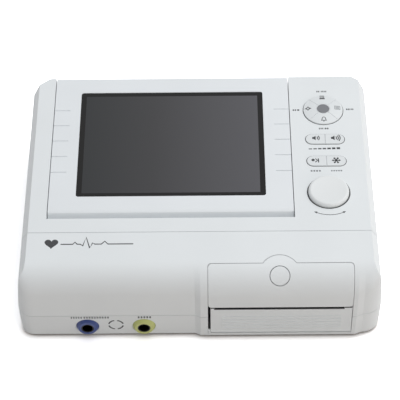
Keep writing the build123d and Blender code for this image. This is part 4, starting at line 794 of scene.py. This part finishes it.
# Painted shade: black rings stand for the shade in the gaps round the pad and the pill keys.
shade_ring_wall("pad_painted_shade", circle_line(pad_middle, PAD_RADIUS + OVERLAP),
          circle_line(pad_middle, PAD_RADIUS - KEY_GAP + CLEARANCE), shade_ring_low, shade_ring_top)
pill_middles = []
for first, last in (("key_volume_down", "key_volume_up"), ("key_event", "key_freeze")):
    low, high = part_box(first)[0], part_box(last)[1]
    middle = ((low.x + high.x) / 2 / MM, (low.y + high.y) / 2 / MM)
    pill_middles.append(middle)
    shade_ring_wall(f"{first.removeprefix('key_')}_painted_shade", pill_line(middle, OVERLAP),
              pill_line(middle, CLEARANCE - KEY_GAP), shade_ring_low, shade_ring_top)
print("felt rings of the keys: 3")

# %% [markdown]
# The dial stands in a shallow round recess, and a black ring of the same kind fills the gap
# between them: painted shade, for the shade in the gap. It lies on the recess's floor and keeps
# clear of the dial, which turns. Round the recess a thin dark line is painted shade as well: it
# darkens the recess's edge where shade falls.

# %% Painted shade ring and line of the dial
RECESS_RADIUS = 19.8
RECESS_DEPTH = 1.5
DIAL_SHADE_RING_HEIGHT = 1.3
RECESS_LINE = 0.45
LINE_SHIFT = 0.25
dial_radius = (dial_high.x - dial_low.x) / 2 / MM
recess_floor = panel_height - RECESS_DEPTH
shade_ring_wall("dial_painted_shade", circle_line(dial_middle, RECESS_RADIUS + OVERLAP),
          circle_line(dial_middle, dial_radius + CLEARANCE),
          recess_floor - OVERLAP, recess_floor + DIAL_SHADE_RING_HEIGHT)
# Painted shade: a dark ink line round the recess stands for the shade at its edge.
dial_recess_painted_shade = ribbon(circle_line(dial_middle, RECESS_RADIUS + LINE_SHIFT), RECESS_LINE, closed=True)
print_film("dial_recess_painted_shade", dial_recess_painted_shade, on_panel, "root", dark_ink)
print("felt ring of the dial: 1, recess line: 1")

# %% [markdown]
# The keys of the round pad are parted by thin pale ribs that stand up from the silicone mat. They
# are upright sheets whose top follows the pad's dome. Round the middle key short sheets form a
# collar. Near it each of the four ribs goes on as a sheet that starts higher up, so that it stays
# clear of the middle key's flange. The seams could be cut into the keys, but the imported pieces
# keep their shape, and ribs between them give the same pale lines.


# %% Ribs of the round pad
def upright_sheet(mesh, start, end, thick, low, top):
    """An upright sheet from start to end; top gives its height at each place."""
    along = (Vector(end) - Vector(start)).normalized()
    side = Vector((-along.y, along.x)) * thick / 2
    columns = []
    for i in range(SHEET_STEPS + 1):
        place = Vector(start).lerp(Vector(end), i / SHEET_STEPS)
        columns.append([mesh.verts.new(Vector((*(place + s * side), z)) * MM)
                        for s, z in ((1, low), (1, top(place)), (-1, top(place)), (-1, low))])
    for a, b in zip(columns, columns[1:]):
        for k in range(4):
            mesh.faces.new((a[k], a[(k + 1) % 4], b[(k + 1) % 4], b[k]))
    mesh.faces.new(columns[0])
    mesh.faces.new(list(reversed(columns[-1])))


def dome_top(sink):
    """A function for the dome's height, a little sunk, at a place."""
    return lambda place: on_pad(place.x, place.y, -sink)[2]


SHEET_STEPS = 8
RIB_THICK = 0.26
PAD_RIB_SINK = 0.25
OK_RADIUS = 5.9
LOW_RIB_START = 2.2
HIGH_RIB_START = 0.3
HIGH_RIB_END = 2.3
COLLAR_THICK = 0.4
COLLAR_SINK = 0.1
mat_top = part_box("keypad_mat")[1].z / MM
rib_foot = mat_top - OVERLAP
hub = Vector(pad_middle)
pad_ribs = bmesh.new()
for turn in (45, 135, 225, 315):
    way = Vector((cos(radians(turn)), sin(radians(turn))))
    upright_sheet(pad_ribs, hub + way * (OK_RADIUS + LOW_RIB_START), hub + way * (PAD_RADIUS - KEY_GAP),
                  RIB_THICK, rib_foot, dome_top(PAD_RIB_SINK))
    upright_sheet(pad_ribs, hub + way * (OK_RADIUS + HIGH_RIB_START),
                  hub + way * (OK_RADIUS + HIGH_RIB_END), RIB_THICK, shade_ring_low, dome_top(PAD_RIB_SINK))
hub_places = [Vector(p) for p in circle_line(pad_middle, OK_RADIUS + KEY_GAP / 2, 48)]
for here, after in zip(hub_places, hub_places[1:] + hub_places[:1]):
    upright_sheet(pad_ribs, here, after, COLLAR_THICK, shade_ring_low, dome_top(COLLAR_SINK))
bmesh.ops.recalc_face_normals(pad_ribs, faces=pad_ribs.faces)
mesh_piece("pad_ribs", pad_ribs, "root", silicone_white)
print("ribs of the pad: 8, collar sheets:", len(hub_places))

# %% [markdown]
# Each pair of pill keys has one rib of the same kind between its halves. The top of these keys is
# flat, so the rib's top is flat too, a little lower than the keys.

# %% Ribs of the pill keys
PILL_RIB_SINK = 0.35
reach = PILL_WIDTH / 2 - KEY_GAP
for i, middle in enumerate(pill_middles):
    rib = bmesh.new()
    upright_sheet(rib, (middle[0], middle[1] - reach), (middle[0], middle[1] + reach),
                  RIB_THICK, rib_foot, lambda place: pill_top - PILL_RIB_SINK)
    bmesh.ops.recalc_face_normals(rib, faces=rib.faces)
    mesh_piece(f"pill_rib_{i + 1}", rib, "root", silicone_white)
print("ribs of the pill keys:", len(pill_middles))

# %% [markdown]
# On the recorder's door a black strip lies on the floor of the paper slot, with a lip over the
# apron's front. Strip and lip are painted shade: their black stands for the shade in the slot,
# which the eye sees as a dark line. Both are long thin boxes. A plain cube would have razor edges
# that catch no light, so one helper makes small boxes with bevelled edges, and the next cells use
# it too.


# %% Painted shade strip of the paper slot
def sleeve(name, centre, size, body, material, bevel=0.25):
    """A small bevelled box; its centre and size are in metres, its bevel in millimetres."""
    mesh = bmesh.new()
    bmesh.ops.create_cube(mesh, size=1.0)
    bmesh.ops.scale(mesh, vec=size, verts=mesh.verts)
    bmesh.ops.bevel(mesh, geom=mesh.edges[:], offset=bevel * MM, segments=2, affect="EDGES")
    bmesh.ops.translate(mesh, vec=centre, verts=mesh.verts)
    mesh_piece(name, mesh, body, material)


SLOT_LEFT = 12.8
SLOT_RIGHT = 131.6
SLOT_FLOOR = 42.0
APRON_FRONT = -128.7
APRON_BACK = -126.3
STRIP_EDGE = 0.1
STRIP_THICK = 0.46
LIP_THICK = 0.34
LIP_HEIGHT = 0.9
END_GAP = 0.2
STRIP_RISE = 0.2
STRIP_MARGIN = 0.1
LIP_PROUD = 0.1
LIP_DROP = 0.15
slot_middle = (SLOT_LEFT + SLOT_RIGHT) / 2
strip_length = SLOT_RIGHT - SLOT_LEFT - 2 * END_GAP
# Painted shade: the black strip and its lip stand for the shade in the paper slot.
sleeve("slot_painted_shade_strip",
       Vector((slot_middle, (APRON_FRONT + APRON_BACK) / 2, SLOT_FLOOR + STRIP_RISE)) * MM,
       Vector((strip_length, APRON_BACK - APRON_FRONT - STRIP_MARGIN, STRIP_THICK)) * MM,
       "recorder_door", pbt_black, STRIP_EDGE)
sleeve("slot_painted_shade_strip_lip",
       Vector((slot_middle, APRON_FRONT - LIP_PROUD, SLOT_FLOOR - LIP_DROP)) * MM,
       Vector((strip_length, LIP_THICK, LIP_HEIGHT)) * MM,
       "recorder_door", pbt_black, STRIP_EDGE)
print("tear strip:", round(strip_length, 1), "mm long")

# %% [markdown]
# At each end of the paper slot a short black sheet lies in the seam between the door's two
# halves. It is painted shade: it stands for the shade in the seam, which the eye sees as a dark
# line. It rides on the door, as the strip does.

# %% Painted shade in the door seam
SEAM_LOW = 43.1
SEAM_HIGH = 44.6
SEAM_SHADE_THICK = 0.3
SEAM_SHADE_EDGE = 0.05
SEAM_SHADE_PROUD = 0.05
SLOT_MARGIN = 0.1
SIDE_MARGIN = 0.3
seam_height = (SEAM_LOW + SEAM_HIGH) / 2
apron_low, apron_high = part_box("paper_apron")
seam_ends = {"left": (apron_low.x / MM + SIDE_MARGIN, SLOT_LEFT - SLOT_MARGIN),
             "right": (SLOT_RIGHT + SLOT_MARGIN, apron_high.x / MM - SIDE_MARGIN)}
for side, (start, end) in seam_ends.items():
    # Painted shade: a thin black sheet stands for the shade in the seam.
    sleeve(f"seam_painted_shade_{side}",
           Vector(((start + end) / 2, APRON_FRONT - SEAM_SHADE_PROUD, seam_height)) * MM,
           Vector((end - start, SEAM_SHADE_THICK, SEAM_HIGH - SEAM_LOW)) * MM,
           "recorder_door", shade_black, SEAM_SHADE_EDGE)
print("seam felts:", len(seam_ends))

# %% [markdown]
# A small cover on the housing hides the left end of the door's hinge pin. It is placed from the
# boxes of the apron and the pin, so it follows them.

# %% Hinge cover
HINGE_COVER_SIZE = Vector((1.8, 1.7, 7.6)) * MM
HINGE_COVER_EDGE = 0.2
HINGE_COVER_SHIFT = Vector((-1.2, -0.95, 0.15)) * MM
pin_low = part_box("door_hinge_pin")[0]
hinge_cover_middle = Vector((apron_low.x, pin_low.y, pin_low.z)) + HINGE_COVER_SHIFT
sleeve("hinge_end_cover", hinge_cover_middle, HINGE_COVER_SIZE, "root", cover_abs, HINGE_COVER_EDGE)
print("hinge cover at x", round(hinge_cover_middle.x / MM, 1), "mm")

# %% [markdown]
# The mains inlet at the back has three blades of plated brass, as usual: two side by side and one
# above them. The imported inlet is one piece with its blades. It could be split by material slots,
# but its mesh is never changed here, so each blade gets a thin metal sleeve over it and the inlet
# keeps one material.

# %% Blades of the mains inlet
BLADE_SETBACK = 4.8 * MM
SLEEVE_PROUD = 0.06 * MM
BLADE_REACH = 11.5 * MM
BLADE_WIDTH = 2.1 * MM
BLADE_HEIGHT = 4.1 * MM
BLADE_SPACING = 14 * MM
EARTH_RISE = 4 * MM
INLET_FLANGE = 2 * MM
BLADE_LEVEL = 0.3
inlet_low, inlet_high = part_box("mains_inlet")
blade_front = inlet_high.y - BLADE_SETBACK
inlet_middle_x = (inlet_low.x + inlet_high.x) / 2
inlet_bottom = inlet_low.z + INLET_FLANGE
inlet_height = inlet_high.z - inlet_low.z - 2 * INLET_FLANGE
blade_z = inlet_bottom + inlet_height * BLADE_LEVEL
blade_places = [(-BLADE_SPACING / 2, 0.0), (0.0, EARTH_RISE), (BLADE_SPACING / 2, 0.0)]
for i, (dx, dz) in enumerate(blade_places):
    centre = (inlet_middle_x + dx, blade_front + SLEEVE_PROUD - BLADE_REACH / 2, blade_z + dz)
    sleeve(f"inlet_blade_{i + 1}", centre, (BLADE_WIDTH, BLADE_REACH, BLADE_HEIGHT), "root",
           nickel_brass)
print("blades:", len(blade_places), "of", round(BLADE_REACH / MM, 1), "mm")

# %% [markdown]
# The network port holds eight gold contacts in a row. They are gilt wires in the real port, so
# they are long thin sleeves here, at the usual pitch of 1.02 mm.

# %% Contacts of the network port
CONTACT_COUNT = 8
CONTACT_PITCH = 1.02 * MM
CONTACT_LENGTH = 8 * MM
CONTACT_WIDTH = 0.5 * MM
CONTACT_DROP = 3.4 * MM
CONTACT_EDGE = 0.1
port_low, port_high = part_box("network_port")
port_middle = (port_low + port_high) / 2
for i in range(CONTACT_COUNT):
    x = port_middle.x + (i - (CONTACT_COUNT - 1) / 2) * CONTACT_PITCH
    sleeve(f"network_contact_{i + 1}", (x, port_high.y - CONTACT_LENGTH, port_middle.z - CONTACT_DROP),
           (CONTACT_WIDTH, CONTACT_LENGTH, CONTACT_WIDTH), "root", gold_contact, CONTACT_EDGE)
print("contacts:", CONTACT_COUNT)

# %% [markdown]
# The photograph was made on a white sweep in very soft light: the flat top is nearly white, the
# curved brow darkens steadily, and the front wall is a light grey. The world gives most of that
# light, more of it from the right than from the left. What the camera, a gloss or a glass sees of
# it directly is plain white, so the background stays clean without more light on the object.


# %% World
def white_for_camera(tree, seen, unseen):
    """Mix two shaders: seen for camera, glossy and transmission rays, unseen for the rest."""
    path = add_node(tree, "ShaderNodeLightPath")
    one = add_node(tree, "ShaderNodeMath", {
        0: path.outputs["Is Camera Ray"], 1: path.outputs["Is Glossy Ray"]}, {"operation": "MAXIMUM"})
    either = add_node(tree, "ShaderNodeMath", {
        0: one.outputs[0], 1: path.outputs["Is Transmission Ray"]}, {"operation": "MAXIMUM"})
    return add_node(tree, "ShaderNodeMixShader", {
        0: either.outputs[0], 1: unseen.outputs[0], 2: seen.outputs[0]})


AMBIENT = 0.61
AMBIENT_TILT = 0.14
world = bpy.data.worlds.new("studio")
world.use_nodes = True
world_tree = world.node_tree
world_tree.nodes.clear()
backdrop = add_node(world_tree, "ShaderNodeBackground", {"Color": linear("#FFFFFF"), "Strength": 1.0})
sky_way = add_node(world_tree, "ShaderNodeTexCoord").outputs["Generated"]
sky_side = add_node(world_tree, "ShaderNodeSeparateXYZ", {"Vector": sky_way})
sky_strength = add_node(world_tree, "ShaderNodeMapRange", {
    "Value": sky_side.outputs["X"], "From Min": -1.0, "From Max": 1.0,
    "To Min": AMBIENT - AMBIENT_TILT, "To Max": AMBIENT + AMBIENT_TILT})
ambient = add_node(world_tree, "ShaderNodeBackground", {
    "Color": linear("#FBFCFF"), "Strength": sky_strength.outputs["Result"]})
add_node(world_tree, "ShaderNodeOutputWorld", {
    "Surface": white_for_camera(world_tree, backdrop, ambient).outputs[0]})
bpy.context.scene.world = world
print("world strength", round(AMBIENT - AMBIENT_TILT, 2), "to", round(AMBIENT + AMBIENT_TILT, 2))

# %% [markdown]
# The sweep is white paper. It throws back less light than it shows, in the same way as the world.
# Within a few millimetres of the object an occlusion node darkens the paper's colour: a painted
# contact shadow where the housing nearly touches it, and that line grounds the object. The paper
# that is seen is two equal diffuse layers added up, so that it stays white where the light is soft.

# %% Floor
FLOOR_HALF = 3.0
floor_mesh = bmesh.new()
bmesh.ops.create_grid(floor_mesh, x_segments=1, y_segments=1, size=FLOOR_HALF)
floor_data = bpy.data.meshes.new("sweep")
floor_mesh.to_mesh(floor_data)
floor_mesh.free()
floor = bpy.data.objects.new("sweep", floor_data)
bpy.context.scene.collection.objects.link(floor)

CONTACT_REACH = 7 * MM
floor_material, floor_tree = new_material("paper_sweep_white")
# Painted contact shadow: occlusion darkens the paper's colour next to the object.
contact = add_node(floor_tree, "ShaderNodeAmbientOcclusion", {"Distance": CONTACT_REACH},
                   {"samples": 12})
paper_colour_and_contact_shadow = ramp_between(floor_tree, contact.outputs["AO"], [
    (0.25, "#6E6A67"), (0.6, "#D9D6D3"), (0.95, "#FFFFFF")])
paper = add_node(floor_tree, "ShaderNodeBsdfDiffuse", {"Color": paper_colour_and_contact_shadow})
lit_paper = add_node(floor_tree, "ShaderNodeAddShader", {0: paper.outputs[0], 1: paper.outputs[0]})
dim_paper = add_node(floor_tree, "ShaderNodeBsdfDiffuse", {"Color": linear("#A8A098")})
finish_material(floor_tree, white_for_camera(floor_tree, lit_paper, dim_paper))
floor_data.materials.append(floor_material)
print("floor", 2 * FLOOR_HALF, "m wide, contact line", round(CONTACT_REACH / MM, 1), "mm")

# %% [markdown]
# Two soft lamps join the world. A wide one above and behind lifts the top, and a low one at the
# front keeps the wall and the sockets open.


# %% Lamps
def area_lamp(name, place, target, size, power, colour):
    """A square area lamp aimed at a target."""
    light = bpy.data.lights.new(name, "AREA")
    light.color = linear(colour)[:3]
    light.shape = "SQUARE"
    light.size = size
    light.energy = power
    lamp = bpy.data.objects.new(name, light)
    lamp.location = place
    lamp.rotation_euler = (Vector(target) - Vector(place)).to_track_quat("-Z", "Y").to_euler()
    bpy.context.scene.collection.objects.link(lamp)


area_lamp("rear_softbox", (0.8, 0.8, 2.0), (0, 0, 0), 1.8, 23.0, "#FFFFFF")
area_lamp("front_softbox", (1.4, -1.9, 0.4), (0, -0.05, 0.03), 1.2, 12.5, "#FFF4EA")
print("lamps: 2")

# %% [markdown]
# The camera stands about 1.7 metres off and looks down by 48 degrees through a long lens. Its
# place was found by matching the housing's corners and the screen's frame, so it is written as a
# place, a look angle, a small turn and a small roll. The lens follows from a focal length in
# pixels and the picture's width of 400 pixels.

# %% Camera
PICTURE_WIDTH = 400
FOCAL_PIXELS = 1730.0
LOOK_DOWN = radians(48.32)
ROLL = radians(0.77)
YAW = radians(0.43)
CAMERA_PLACE = Vector((8.66, -1099.66, 1282.19)) * MM
SENSOR_WIDTH = 36.0
camera_data = bpy.data.cameras.new("camera")
camera_data.sensor_width = SENSOR_WIDTH
camera_data.lens = FOCAL_PIXELS / PICTURE_WIDTH * SENSOR_WIDTH
camera = bpy.data.objects.new("camera", camera_data)
back = Vector((sin(YAW) * cos(LOOK_DOWN), -cos(YAW) * cos(LOOK_DOWN), sin(LOOK_DOWN)))
right = Vector((cos(YAW), sin(YAW), 0.0))
up = back.cross(right)
rolled_right = right * cos(ROLL) - up * sin(ROLL)
rolled_up = right * sin(ROLL) + up * cos(ROLL)
turn = Matrix((rolled_right, rolled_up, back)).transposed()
camera.matrix_world = Matrix.Translation(CAMERA_PLACE) @ turn.to_4x4()
bpy.context.scene.collection.objects.link(camera)
bpy.context.scene.camera = camera
bpy.context.scene.view_settings.view_transform = "Standard"
print("lens", round(camera_data.lens, 1), "mm")

# %% [markdown]
# The last cell only prints that the scene is set up.

# %% Finish
print("scene set up")
